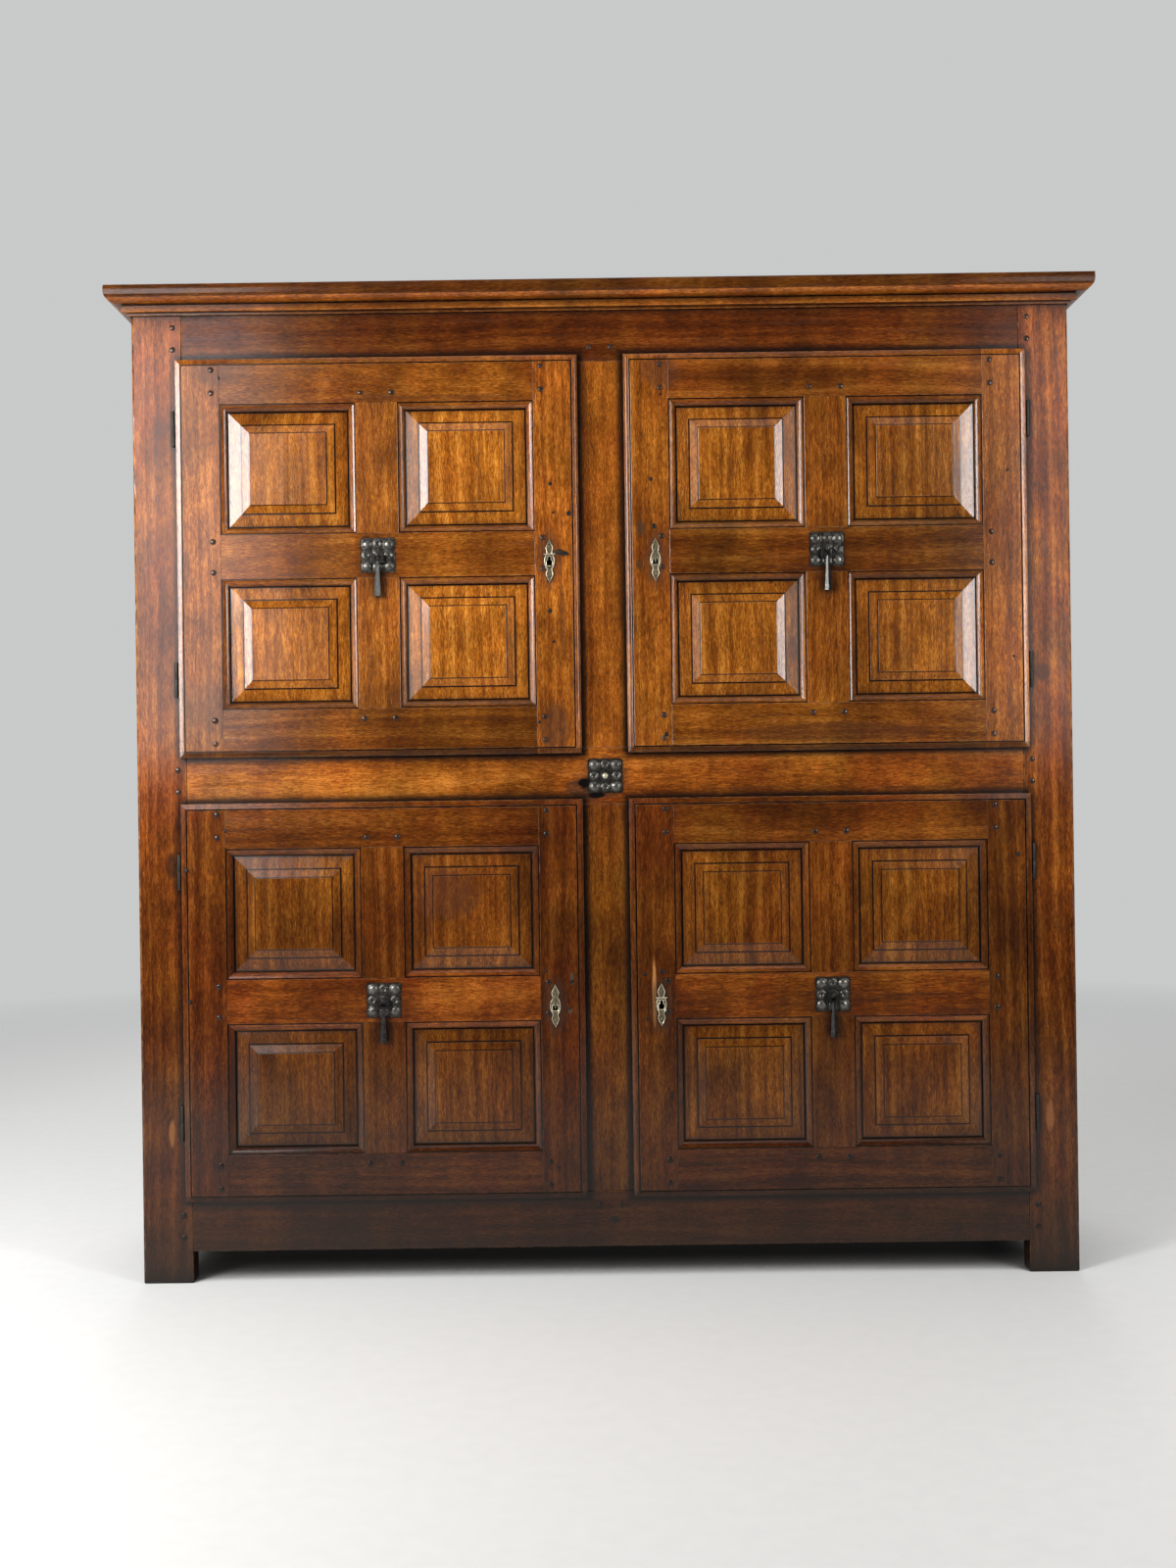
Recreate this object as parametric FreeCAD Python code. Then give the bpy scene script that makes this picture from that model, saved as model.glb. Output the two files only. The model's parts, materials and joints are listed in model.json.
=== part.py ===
import FreeCAD, Part
import math
import os

Vector = FreeCAD.Vector

# A four-door walnut cupboard, in millimetres: x to the right, y to the back, z up.
# The origin is on the floor, at the middle of the plan.

# Front layout: what shows between and around the doors
door_width = 728.0
door_height = 722.0
stile_visible = 81.0
centre_visible = 84.0
foot_height = 57.0
bottom_visible = 91.0
middle_visible = 83.0
top_visible = 82.0

# Carcase
carcase_depth = 520.0
frame_thickness = 44.0
post_width = 60.0
post_depth = 44.0
side_rail_thickness = 30.0
side_panel_thickness = 12.0
side_panel_setback = 9.0
back_rail_thickness = 26.0
back_board_thickness = 18.0
back_board_count = 8
top_board_thickness = 20.0
top_board_count = 3
board_gap = 1.0
shelf_thickness = 20.0
shelf_board_count = 3
shelf_gap = 2.0
shelf_side_gap = 1.0
batten_width = 24.0
batten_height = 28.0
bottom_deck_drop = 4.0
middle_deck_drop = 40.0
lower_shelf_rise = 350.0
upper_shelf_rise = 370.0

# Joinery
tenon_length = 45.0
tenon_thickness = 14.0
tenon_shoulder = 14.0
post_tenon_length = 36.0
side_tenon_length = 26.0
side_tenon_thickness = 10.0
side_groove_depth = 10.0
wood_fit = 0.1
panel_play = 0.25
peg_side = 7.0
peg_length = 26.0
peg_proud = 0.6
peg_setback = 16.0
peg_spread = 40.0

# Cornice, as distances out from the frame and heights above its foot
cornice_height = 48.0
cornice_overhang = 40.0
nose_height = 17.0
nose_bulge = 1.0
ovolo_foot_out = 22.0
ovolo_foot_up = 18.0
ovolo_bulge = 3.5
cornice_quirk = 2.0
band_out = 14.0
band_low = 5.0
band_high = 17.0
cove_out = 5.0

# Door woodwork
lip_overlap = 10.0
lip_proud = 14.0
lip_gap = 0.2
door_thickness = 28.0
rebate_clearance = 2.5
bead_width = 10.0
bead_side = 11.2
bead_drop = 0.8
bead_bulge = 0.15
quirk_width = 2.0
quirk_depth = 3.0
door_stile_width = 80.0
door_muntin_width = 76.0
door_top_rail = 82.0
door_middle_rail = 80.0
door_bottom_rail = 86.0
door_tenon_length = 40.0
door_tenon_thickness = 9.0
door_tenon_shoulder = 10.0
door_end_shoulder = 22.0
door_muntin_tenon = 28.0
sticking_width = 13.0
sticking_foot = 2.8
sticking_drop = 2.0
sticking_bulge = 1.0
panel_groove_width = 7.0
panel_groove_depth = 9.0
bevel_width = 26.0
bevel_rise = 4.2
step_rise = 1.6
band_width = 15.0
band_rise = 4.0
field_rise = 0.7

# Forged iron: rounds are hammered to flats, and so are the holes that they turn in
round_sides = 12
hole_sides = 8

# Pin hinges
knuckle_radius = 4.0
knuckle_length = 32.0
knuckle_gap = 0.3
hinge_pin_radius = 1.9
pin_play = 0.06
pin_grip = 0.02
hinge_side_gap = 1.0
hinge_face_gap = 0.5
leaf_thickness = 2.4
leaf_depth = 24.0
upper_hinge_drop = 124.0
lower_hinge_rise = 142.0

# Locks
lock_width = 60.0
lock_height = 84.0
lock_depth = 20.0
lock_wall = 2.0
bolt_length = 46.0
bolt_height = 20.0
bolt_thickness = 8.0
bolt_rise = 22.0
bolt_play = 0.2
bolt_throw = 11.0
bolt_guide_width = 14.0
socket_room = 1.0
socket_spare = 3.0

# Keyholes, their plates and covers; the share is of the lock stile's width, from the door's edge
keyhole_share = 0.675
keyhole_drop = 15.0
keyhole_width = 10.0
keyhole_foot = 9.0
keyhole_slot_width = 5.0
keyhole_length = 16.0
keyhole_margin = 4.0
escutcheon_height = 78.0
escutcheon_width = 19.0
escutcheon_thickness = 1.2
escutcheon_waist = 9.0
escutcheon_body = 30.0
escutcheon_tip_width = 14.0
escutcheon_tip_length = 15.0
cover_length = 24.0
cover_width = 8.0
cover_shoulder = 9.0
cover_neck_width = 5.2
cover_crown = 3.2
cover_thickness = 1.0
cover_gap = 0.3
cover_rise = 18.0
rivet_radius = 1.2
rivet_play = 0.05
rivet_head_radius = 2.2
rivet_head_thickness = 0.8

# Handles and the plate between the doors
plate_side = 62.0
plate_thickness = 1.6
boss_inset = 12.0
boss_radius = 8.5
boss_shoulder_radius = 6.2
boss_crown_radius = 2.6
boss_shoulder_height = 2.2
boss_height = 3.4
boss_sides = 6
eye_standoff = 9.0
eye_radius = 4.2
eye_width = 5.0
shank_side = 4.4
shank_play = 0.1
clench_width = 3.0
clench_length = 14.0
clench_thickness = 2.0
bail_radius = 2.0
bail_play = 0.06
bail_width = 22.0
bail_height = 11.0
bail_thickness = 4.4
drop_length = 60.0
drop_top_radius = 3.2
drop_bottom_radius = 7.0
drop_sides = 6
nail_radius = 6.5
nail_height = 3.6
nail_steps = 3

# Room by which a cutting block passes the face that it cuts
past = 1.0

# Levels and places that follow from the sizes above
lower_door_z = foot_height + bottom_visible
upper_door_z = lower_door_z + door_height + middle_visible
crossing_z = upper_door_z - middle_visible / 2
cornice_z = upper_door_z + door_height + top_visible
overall_height = cornice_z + cornice_height
frame_top = overall_height - top_board_thickness
frame_half = stile_visible + door_width + centre_visible / 2
face_y = (cornice_overhang - carcase_depth) / 2
back_y = face_y + carcase_depth
frame_rear = face_y + frame_thickness
post_front = back_y - post_depth
stile_edge = frame_half - stile_visible - lip_overlap
centre_post_half = centre_visible / 2 + lip_overlap
bottom_rail_z = (foot_height, lower_door_z + lip_overlap)
middle_rail_z = (lower_door_z + door_height - lip_overlap, upper_door_z + lip_overlap)
top_rail_z = (upper_door_z + door_height - lip_overlap, frame_top)
rail_levels = (bottom_rail_z, middle_rail_z, top_rail_z)
bay_levels = ((bottom_rail_z[1], middle_rail_z[0]), (middle_rail_z[1], top_rail_z[0]))
door_front = -(lip_gap + lip_proud)
door_rear = door_front + door_thickness
rebate_width = lip_overlap + rebate_clearance
hinge_x = -(knuckle_radius + hinge_side_gap)
hinge_y = -(knuckle_radius + hinge_face_gap)
hinge_heights = (lower_hinge_rise, door_height - upper_hinge_drop)
lock_edge = door_width - rebate_width
bolt_front = door_rear + (lock_depth - lock_wall - bolt_thickness) / 2

# Each door's name, its hand (1 hangs at its left edge, -1 at its right) and its lower left corner
doors = (
    ("upper_left", 1, -frame_half + stile_visible, upper_door_z),
    ("upper_right", -1, centre_visible / 2, upper_door_z),
    ("lower_left", 1, -frame_half + stile_visible, lower_door_z),
    ("lower_right", -1, centre_visible / 2, lower_door_z),
)
covered_keyholes = ("upper_right", "lower_left")

rightward = Vector(1, 0, 0)
backward = Vector(0, 1, 0)
upward = Vector(0, 0, 1)


def block(x0, x1, y0, y1, z0, z1):
    return Part.makeBox(x1 - x0, y1 - y0, z1 - z0, Vector(x0, y0, z0))


def grown(limits, room):
    # The limits of a block with room added on every side
    return [value + room * (1 if index % 2 else -1) for index, value in enumerate(limits)]


def moved(shape, x, y, z):
    copy = shape.copy()
    copy.translate(Vector(x, y, z))
    return copy


def flipped(shape, x):
    # Mirror image, left for right, about the upright plane at x
    return shape.mirror(Vector(x, 0, 0), Vector(1, 0, 0))


def upended(shape, z):
    # Mirror image, top for bottom, about the level plane at z
    return shape.mirror(Vector(0, 0, z), Vector(0, 0, 1))


def laid_down(shape, length):
    # An upright piece of this length from the origin, turned to run along x
    copy = shape.copy()
    copy.rotate(Vector(0, 0, 0), Vector(0, 1, 0), -90)
    copy.translate(Vector(length, 0, 0))
    return copy


def polygon(sides, radius, centre, across, along):
    # A closed outline of equal sides in the plane of two directions
    points = []
    for corner in range(sides + 1):
        angle = 2 * math.pi * (corner + 0.5) / sides
        points.append(centre + across * (radius * math.cos(angle)) + along * (radius * math.sin(angle)))
    return Part.makePolygon(points)


def prism(sides, radius, start, end, across, along):
    return Part.Face(polygon(sides, radius, start, across, along)).extrude(end - start)


def flats_about(radius):
    # The corner radius of a hole whose flats touch a round of this radius
    return radius / math.cos(math.pi / hole_sides)


def face_of(start, steps):
    # A flat face: each step is a point for a line, or a (through, end) pair for an arc
    edges = []
    here = start
    for step in [*steps, start]:
        if isinstance(step, tuple):
            through, end = step
            edges.append(Part.Arc(here, through, end).toShape())
        else:
            end = step
            edges.append(Part.LineSegment(here, end).toShape())
        here = end
    return Part.Face(Part.Wire(edges))


def bulged(start, end, toward, bulge):
    # The (through, end) pair of an arc whose middle stands off its chord
    aside = Vector(toward)
    aside.normalize()
    return ((start + end) / 2 + aside * bulge, end)


def save(name, solids):
    Part.makeCompound(solids).exportStep("parts/" + name + ".step")


# Front frame: stiles, rails, centre posts and pegs

tenon_front = face_y + (frame_thickness - tenon_thickness) / 2
tenon_rear = tenon_front + tenon_thickness


def placed(shape, hand, x, z):
    # Sets a piece of a left-hand door into the front, turned over for a right-hand door
    if hand < 0:
        shape = flipped(shape, door_width / 2)
    return moved(shape, x, face_y, z)


def rail_tenon(levels):
    # The tenon at the left end of a front rail
    low, high = levels
    return (
        -stile_edge - tenon_length,
        -stile_edge,
        tenon_front,
        tenon_rear,
        low + tenon_shoulder,
        high - tenon_shoulder,
    )


def post_tenon(bay):
    # One bar through a centre post, as long as the post with both its tenons
    half = centre_post_half - tenon_shoulder
    low, high = bay
    return (-half, half, tenon_front, tenon_rear, low - post_tenon_length, high + post_tenon_length)


def peg_places():
    visible_levels = (
        (foot_height, lower_door_z),
        (lower_door_z + door_height, upper_door_z),
        (upper_door_z + door_height, cornice_z),
    )
    places = []
    for side in (-1, 1):
        for low, high in visible_levels:
            for rise in (-peg_spread / 2, peg_spread / 2):
                places.append((side * (stile_edge + peg_setback), (low + high) / 2 + rise))
        for low, high in bay_levels:
            for level in (low - lip_overlap - peg_setback, high + lip_overlap + peg_setback):
                places.append((side * peg_spread / 2, level))
    return places


def peg(x, z, room):
    # A square peg, which stands a little proud unless the plate at the crossing covers it
    half = peg_side / 2
    reach = plate_side / 2 + half
    covered = abs(x) < reach and abs(z - crossing_z) < reach
    front = face_y if covered else face_y - peg_proud
    limits = (x - half, x + half, front, face_y + peg_length, z - half, z + half)
    return block(*grown(limits, room))


peg_holes = [peg(x, z, wood_fit) for x, z in peg_places()]


def front_stile():
    # The left stile with its mortises, the grooves of the side panels and the hinge slots
    cuts = [hole for hole in peg_holes if hole.BoundBox.XMax < -stile_edge]
    for levels in rail_levels:
        cuts.append(block(*grown(rail_tenon(levels), wood_fit)))
        cuts.append(block(*grown(side_tenon(levels), wood_fit)))
    cuts += [side_groove(bay) for bay in bay_levels]
    for name, hand, x, z in doors:
        if hand > 0:
            cuts += [placed(frame_leaf(height, wood_fit), hand, x, z) for height in hinge_heights]
    return block(-frame_half, -stile_edge, face_y, frame_rear, 0, frame_top).cut(cuts)


def front_rail(levels):
    # A rail with its two tenons, mortised for the centre posts
    tenon = block(*rail_tenon(levels))
    rail = block(-stile_edge, stile_edge, face_y, frame_rear, *levels)
    rail = rail.fuse([tenon, flipped(tenon, 0)])
    mortises = [block(*grown(post_tenon(bay), wood_fit)) for bay in bay_levels]
    return rail.cut([*mortises, *peg_holes]).removeSplitter()


def centre_post(bay):
    post = block(-centre_post_half, centre_post_half, face_y, frame_rear, *bay)
    post = post.fuse(block(*post_tenon(bay)))
    sockets = [placed(bolt_socket(), hand, x, z) for name, hand, x, z in doors]
    return post.cut([*peg_holes, *sockets]).removeSplitter()


# Sides, back, top and inside

side_inner = frame_half - side_rail_thickness
side_panel_outer = frame_half - side_panel_setback
side_panel_inner = side_panel_outer - side_panel_thickness
back_rail_rear = back_y - back_board_thickness


def side_tenon(levels):
    # One bar through a left side rail, as long as the rail with both its tenons
    low, high = levels
    middle = -(frame_half + side_inner) / 2
    half = side_tenon_thickness / 2
    return (
        middle - half,
        middle + half,
        frame_rear - side_tenon_length,
        post_front + side_tenon_length,
        low + tenon_shoulder,
        high - tenon_shoulder,
    )


def side_panel(bay, room):
    # A left side panel that reaches into its grooves, with room on every side
    low, high = bay
    reach = side_groove_depth - panel_play
    limits = (
        -side_panel_outer,
        -side_panel_inner,
        frame_rear - reach,
        post_front + reach,
        low - reach,
        high + reach,
    )
    return block(*grown(limits, room))


def side_groove(bay):
    return side_panel(bay, panel_play)


def side_rail(levels):
    rail = block(-frame_half, -side_inner, frame_rear, post_front, *levels)
    rail = rail.fuse(block(*side_tenon(levels)))
    grooves = [side_groove(bay) for bay in bay_levels]
    return rail.cut(grooves).removeSplitter()


def back_tenon(levels):
    # The tenon at the left end of a back rail
    low, high = levels
    edge = -frame_half + post_width
    middle = back_rail_rear - back_rail_thickness / 2
    half = side_tenon_thickness / 2
    return (
        edge - side_tenon_length,
        edge,
        middle - half,
        middle + half,
        low + tenon_shoulder,
        high - tenon_shoulder,
    )


def back_post():
    # The left back post, mortised for the rails of the side and the back
    cuts = [side_groove(bay) for bay in bay_levels]
    for levels in rail_levels:
        cuts.append(block(*grown(side_tenon(levels), wood_fit)))
        cuts.append(block(*grown(back_tenon(levels), wood_fit)))
    return block(-frame_half, -frame_half + post_width, post_front, back_y, 0, frame_top).cut(cuts)


def back_rail(levels):
    edge = frame_half - post_width
    tenon = block(*back_tenon(levels))
    rail = block(-edge, edge, back_rail_rear - back_rail_thickness, back_rail_rear, *levels)
    return rail.fuse([tenon, flipped(tenon, 0)]).removeSplitter()


def spans(start, end, count):
    # Equal widths from start to end, with the boards' gap between them
    width = (end - start - board_gap * (count - 1)) / count
    return [(start + index * (width + board_gap), width) for index in range(count)]


def back_boards():
    edge = frame_half - post_width
    boards = []
    for x, width in spans(-edge, edge, back_board_count):
        boards.append(block(x, x + width, back_rail_rear, back_y, foot_height, frame_top))
    return boards


def flat_boards(half_length, y0, y1, count, top, thickness):
    boards = []
    for y, width in spans(y0, y1, count):
        boards.append(block(-half_length, half_length, y, y + width, top - thickness, top))
    return boards


def deck_tops():
    # Upper faces of the two decks and of the shelf above each
    bottom_deck = bottom_rail_z[1] - bottom_deck_drop
    middle_deck = middle_rail_z[1] - middle_deck_drop
    return (
        bottom_deck,
        bottom_deck + lower_shelf_rise,
        middle_deck,
        middle_deck + upper_shelf_rise,
    )


def shelf_boards():
    half = side_inner - shelf_side_gap
    front = frame_rear + shelf_gap
    rear = post_front - shelf_gap
    boards = []
    for top in deck_tops():
        boards += flat_boards(half, front, rear, shelf_board_count, top, shelf_thickness)
    return boards


def shelf_battens():
    battens = []
    for top in deck_tops():
        high = top - shelf_thickness
        inner = -side_inner + batten_width
        left = block(-side_inner, inner, frame_rear, post_front, high - batten_height, high)
        battens += [left, flipped(left, 0)]
    return battens


# Cornice: one moulding run along the front and both sides, mitred at the corners


def cornice_section(at):
    # The moulding's section, where at(out, up) gives the place of a point
    nose_low = at(cornice_overhang - nose_bulge, cornice_height - nose_height)
    nose_high = at(cornice_overhang - nose_bulge, cornice_height)
    ovolo_foot = at(ovolo_foot_out, ovolo_foot_up)
    outward = at(1, 0) - at(0, 0)
    downward = at(0, -1) - at(0, 0)
    return face_of(
        at(0, 0),
        [
            at(0, cornice_height),
            nose_high,
            bulged(nose_high, nose_low, outward, nose_bulge),
            bulged(nose_low, ovolo_foot, outward + downward, ovolo_bulge),
            at(band_out - cornice_quirk, ovolo_foot_up),
            at(band_out - cornice_quirk, band_high),
            at(band_out, band_high),
            at(band_out, band_low),
            at(cove_out, band_low),
            at(cove_out, 0),
        ],
    )


def mitre_wedge(far_corner):
    # The triangle of plan on one side of the left mitre
    corner = Vector(-frame_half, face_y, cornice_z)
    tip = corner + Vector(-cornice_overhang, -cornice_overhang, 0)
    return face_of(corner, [tip, far_corner]).extrude(Vector(0, 0, cornice_height))


def cornice():
    end_x = -frame_half - cornice_overhang
    end_y = face_y - cornice_overhang
    front = cornice_section(lambda out, up: Vector(end_x, face_y - out, cornice_z + up))
    front = front.extrude(Vector(-2 * end_x, 0, 0))
    left = cornice_section(lambda out, up: Vector(-frame_half - out, end_y, cornice_z + up))
    left = left.extrude(Vector(0, back_y - end_y, 0))
    beside = mitre_wedge(Vector(end_x, face_y, cornice_z))
    before = mitre_wedge(Vector(-frame_half, end_y, cornice_z))
    front = front.cut([beside, flipped(beside, 0)])
    left = left.cut(before)
    return [front, left, flipped(left, 0)]


# Doors, each made as a left-hand door with the lower left corner of its lip at the origin
# and the front of the cupboard's frame at y = 0

opening_width = (door_width - 2 * door_stile_width - door_muntin_width) / 2
opening_height = (door_height - door_top_rail - door_middle_rail - door_bottom_rail) / 2
opening_columns = (door_stile_width, door_stile_width + opening_width + door_muntin_width)
opening_rows = (door_bottom_rail, door_bottom_rail + opening_height + door_middle_rail)
groove_front = (door_front + door_rear - panel_groove_width) / 2
groove_rear = groove_front + panel_groove_width
door_tenon_front = (door_front + door_rear - door_tenon_thickness) / 2
door_tenon_rear = door_tenon_front + door_tenon_thickness
middle_rail_low = door_bottom_rail + opening_height
door_rail_levels = (
    (0, door_bottom_rail),
    (middle_rail_low, middle_rail_low + door_middle_rail),
    (door_height - door_top_rail, door_height),
)
handle_x = door_width / 2
handle_z = middle_rail_low + door_middle_rail / 2
keyhole_x = door_width - door_stile_width * keyhole_share
keyhole_height = handle_z - keyhole_drop
door_tenon_levels = (
    (door_end_shoulder, door_bottom_rail - door_tenon_shoulder),
    (
        keyhole_height + keyhole_length / 2 + keyhole_margin,
        middle_rail_low + door_middle_rail - door_tenon_shoulder,
    ),
    (door_height - door_top_rail + door_tenon_shoulder, door_height - door_end_shoulder),
)
escutcheon_front = door_front - escutcheon_thickness


def sticking(length):
    # The moulded and grooved edge beside a panel, upright, with mitred ends
    foot_y = groove_front - sticking_foot
    crest = Vector(quirk_width, door_front + sticking_drop)
    foot = Vector(sticking_width, foot_y)
    groove_floor = sticking_width - panel_groove_depth
    section = face_of(
        Vector(0, door_rear),
        [
            Vector(0, door_front + quirk_depth),
            Vector(quirk_width, door_front + quirk_depth),
            crest,
            bulged(crest, foot, Vector(1, -1, 0), sticking_bulge),
            Vector(sticking_width, groove_front),
            Vector(groove_floor, groove_front),
            Vector(groove_floor, groove_rear),
            Vector(sticking_width, groove_rear),
            Vector(sticking_width, door_rear),
        ],
    )
    strip = section.extrude(Vector(0, 0, length))
    front = door_front - past
    mitre = face_of(
        Vector(0, front, 0),
        [Vector(sticking_width, front, 0), Vector(sticking_width, front, sticking_width)],
    )
    mitre = mitre.extrude(Vector(0, door_thickness + 2 * past, 0))
    return strip.cut([mitre, upended(mitre, length / 2)])


left_sticking = sticking(opening_height)
right_sticking = flipped(left_sticking, opening_width / 2)
low_sticking = laid_down(sticking(opening_width), opening_width)
high_sticking = upended(low_sticking, opening_height / 2)


def ring(outer, inner, y0, y1):
    # A rectangular frame round the door, between two distances in from its edge
    whole = block(outer, door_width - outer, y0, y1, outer, door_height - outer)
    return whole.cut(block(inner, door_width - inner, y0, y1, inner, door_height - inner))


def lip_rounding(length):
    # What a plane takes off the lip's edge to leave its bead, upright
    side = Vector(0, -(lip_gap + bead_side), -past)
    crest = Vector(bead_width, door_front + bead_drop, -past)
    waste = face_of(
        side,
        [
            bulged(side, crest, Vector(-1, -1, 0), bead_bulge),
            Vector(bead_width, door_front - past, -past),
            Vector(-past, door_front - past, -past),
            Vector(-past, side.y, -past),
        ],
    )
    return waste.extrude(Vector(0, 0, length + 2 * past))


def door_edge_cuts():
    # The bead, the quirk inside it and the rebate behind it, all round the door
    left = lip_rounding(door_height)
    low = laid_down(lip_rounding(door_width), door_width)
    return [
        left,
        flipped(left, door_width / 2),
        low,
        upended(low, door_height / 2),
        ring(bead_width, bead_width + quirk_width, door_front - past, door_front + quirk_depth),
        ring(-past, rebate_width, -lip_gap, door_rear + past),
    ]


edge_cuts = door_edge_cuts()


def door_tenon(levels):
    # The tenon at the left end of a door rail
    return (
        door_stile_width - door_tenon_length,
        door_stile_width,
        door_tenon_front,
        door_tenon_rear,
        *levels,
    )


def door_muntin_bar(row):
    # One bar through a door muntin, as long as the muntin with both its tenons
    left = door_stile_width + opening_width
    return (
        left + door_tenon_shoulder,
        left + door_muntin_width - door_tenon_shoulder,
        door_tenon_front,
        door_tenon_rear,
        row - door_muntin_tenon,
        row + opening_height + door_muntin_tenon,
    )


def keyhole():
    # Wide at the foot, with a narrow slot above
    front = escutcheon_front - past
    rear = door_rear + past
    low = keyhole_height - keyhole_length / 2
    high = keyhole_height + keyhole_length / 2
    half = keyhole_width / 2
    slot_half = keyhole_slot_width / 2
    foot = block(keyhole_x - half, keyhole_x + half, front, rear, low, low + keyhole_foot)
    slot = block(keyhole_x - slot_half, keyhole_x + slot_half, front, rear, low, high)
    return foot.fuse(slot)


def door_stiles():
    # The hinge stile and the lock stile
    stile = block(0, door_stile_width, door_front, door_rear, 0, door_height)
    stile = stile.fuse([moved(left_sticking, door_stile_width, 0, row) for row in opening_rows])
    mortises = [block(*grown(door_tenon(levels), wood_fit)) for levels in door_tenon_levels]
    stile = stile.cut([*mortises, *edge_cuts]).removeSplitter()
    slots = [door_leaf(height, wood_fit) for height in hinge_heights]
    return [stile.cut(slots), flipped(stile, door_width / 2).cut(keyhole())]


def door_rails():
    rails = []
    mortises = [block(*grown(door_muntin_bar(row), wood_fit)) for row in opening_rows]
    for levels, tenon_levels in zip(door_rail_levels, door_tenon_levels):
        low, high = levels
        tenon = block(*door_tenon(tenon_levels))
        rail = block(door_stile_width, door_width - door_stile_width, door_front, door_rear, low, high)
        added = [tenon, flipped(tenon, door_width / 2)]
        for column in opening_columns:
            if high in opening_rows:
                added.append(moved(low_sticking, column, 0, high))
            if low > 0:
                added.append(moved(high_sticking, column, 0, low - opening_height))
        rail = rail.fuse(added).cut([*mortises, *edge_cuts, shank(shank_play)])
        rails.append(rail.removeSplitter())
    return rails


def door_muntins():
    left = door_stile_width + opening_width
    muntins = []
    for row in opening_rows:
        top = row + opening_height
        muntin = block(left, left + door_muntin_width, door_front, door_rear, row, top)
        added = [
            block(*door_muntin_bar(row)),
            moved(right_sticking, opening_columns[0], 0, row),
            moved(left_sticking, opening_columns[1], 0, row),
        ]
        muntins.append(muntin.fuse(added).removeSplitter())
    return muntins


def frustum(front_inset, front, rear_inset, rear):
    # A block with four sloping sides over one panel opening
    return Part.makeWedge(
        front_inset,
        front,
        front_inset,
        rear_inset,
        rear_inset,
        opening_width - front_inset,
        rear,
        opening_height - front_inset,
        opening_height - rear_inset,
        opening_width - rear_inset,
    )


def raised_panel():
    # Tongue, bevel, step, sloping band and field, for the opening with its corner at the origin
    tongue_inset = sticking_width - panel_groove_depth + panel_play
    band_inset = sticking_width + bevel_width
    field_inset = band_inset + band_width
    tongue_front = groove_front + panel_play
    bevel_front = tongue_front - bevel_rise
    step_front = bevel_front - step_rise
    band_front = step_front - band_rise
    field_front = band_front - field_rise
    tongue = frustum(tongue_inset, tongue_front, tongue_inset, groove_rear - panel_play)
    layers = [
        frustum(band_inset, bevel_front, sticking_width, tongue_front),
        frustum(band_inset, step_front, band_inset, bevel_front),
        frustum(field_inset, band_front, band_inset, step_front),
        frustum(field_inset, field_front, field_inset, band_front),
    ]
    return tongue.fuse(layers).removeSplitter()


def door_panels():
    panel = raised_panel()
    return [moved(panel, column, 0, row) for column in opening_columns for row in opening_rows]


# Pin hinges: the lower knuckle and its leaf belong to the frame, the upper ones to the door


def hinge_line(height):
    return Vector(hinge_x, hinge_y, height)


def hinge_prism(radius, low, high):
    return prism(hole_sides, radius, hinge_line(low), hinge_line(high), rightward, backward)


def frame_leaf(height, room):
    half = leaf_thickness / 2
    limits = (
        hinge_x - half,
        hinge_x + half,
        hinge_y,
        leaf_depth,
        height - knuckle_length,
        height - knuckle_gap / 2,
    )
    return block(*grown(limits, room))


def door_leaf(height, room):
    half = leaf_thickness / 2
    limits = (
        hinge_x,
        leaf_depth,
        hinge_y - half,
        hinge_y + half,
        height + knuckle_gap / 2,
        height + knuckle_length,
    )
    return block(*grown(limits, room))


def wrapped_barrel(leaf, low, high, room):
    # A strap wrapped in flats about the pin, with room to it
    bore_radius = flats_about(hinge_pin_radius + room)
    barrel = hinge_prism(knuckle_radius, low, high).fuse(leaf)
    return barrel.cut(hinge_prism(bore_radius, low, high)).removeSplitter()


def frame_hinge(height):
    low = height - knuckle_length
    return wrapped_barrel(frame_leaf(height, 0), low, height - knuckle_gap / 2, pin_grip)


def door_hinge(height):
    high = height + knuckle_length
    return wrapped_barrel(door_leaf(height, 0), height + knuckle_gap / 2, high, pin_play)


def hinge_pin(height):
    low = hinge_line(height - knuckle_length)
    high = hinge_line(height + knuckle_length)
    return prism(round_sides, hinge_pin_radius, low, high, rightward, backward)


# Rim locks on the inside of each meeting stile


def bolt_limits():
    middle = keyhole_height + bolt_rise
    half = bolt_height / 2
    return (
        lock_edge - bolt_length,
        lock_edge,
        bolt_front,
        bolt_front + bolt_thickness,
        middle - half,
        middle + half,
    )


def lock_case():
    # A shallow box, open towards the door, with a slot and a guide for the bolt
    left = lock_edge - lock_width
    low = keyhole_height - lock_height / 2
    high = keyhole_height + lock_height / 2
    rear = door_rear + lock_depth
    case = block(left, lock_edge, door_rear, rear, low, high)
    hollow = block(
        left + lock_wall,
        lock_edge - lock_wall,
        door_rear - past,
        rear - lock_wall,
        low + lock_wall,
        high - lock_wall,
    )
    guide_left = lock_edge - (bolt_length + bolt_guide_width) / 2
    x0, x1, y0, y1, z0, z1 = bolt_limits()
    guide = block(guide_left, guide_left + bolt_guide_width, y1, rear - lock_wall, z0, z1)
    slot = block(*grown((x0, x1 + past, y0, y1, z0, z1), bolt_play))
    return case.cut(hollow).fuse(guide).cut(slot).removeSplitter()


def lock_bolt():
    return block(*bolt_limits())


def bolt_socket():
    # The pocket in a centre post that takes the bolt when it is thrown
    x0, x1, y0, y1, z0, z1 = bolt_limits()
    x0, x1, y0, y1, z0, z1 = grown((x0, x1, y0, y1, z0, z1), socket_room)
    return block(lock_edge, lock_edge + bolt_throw + socket_spare, y0, y1, z0, z1)


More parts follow.
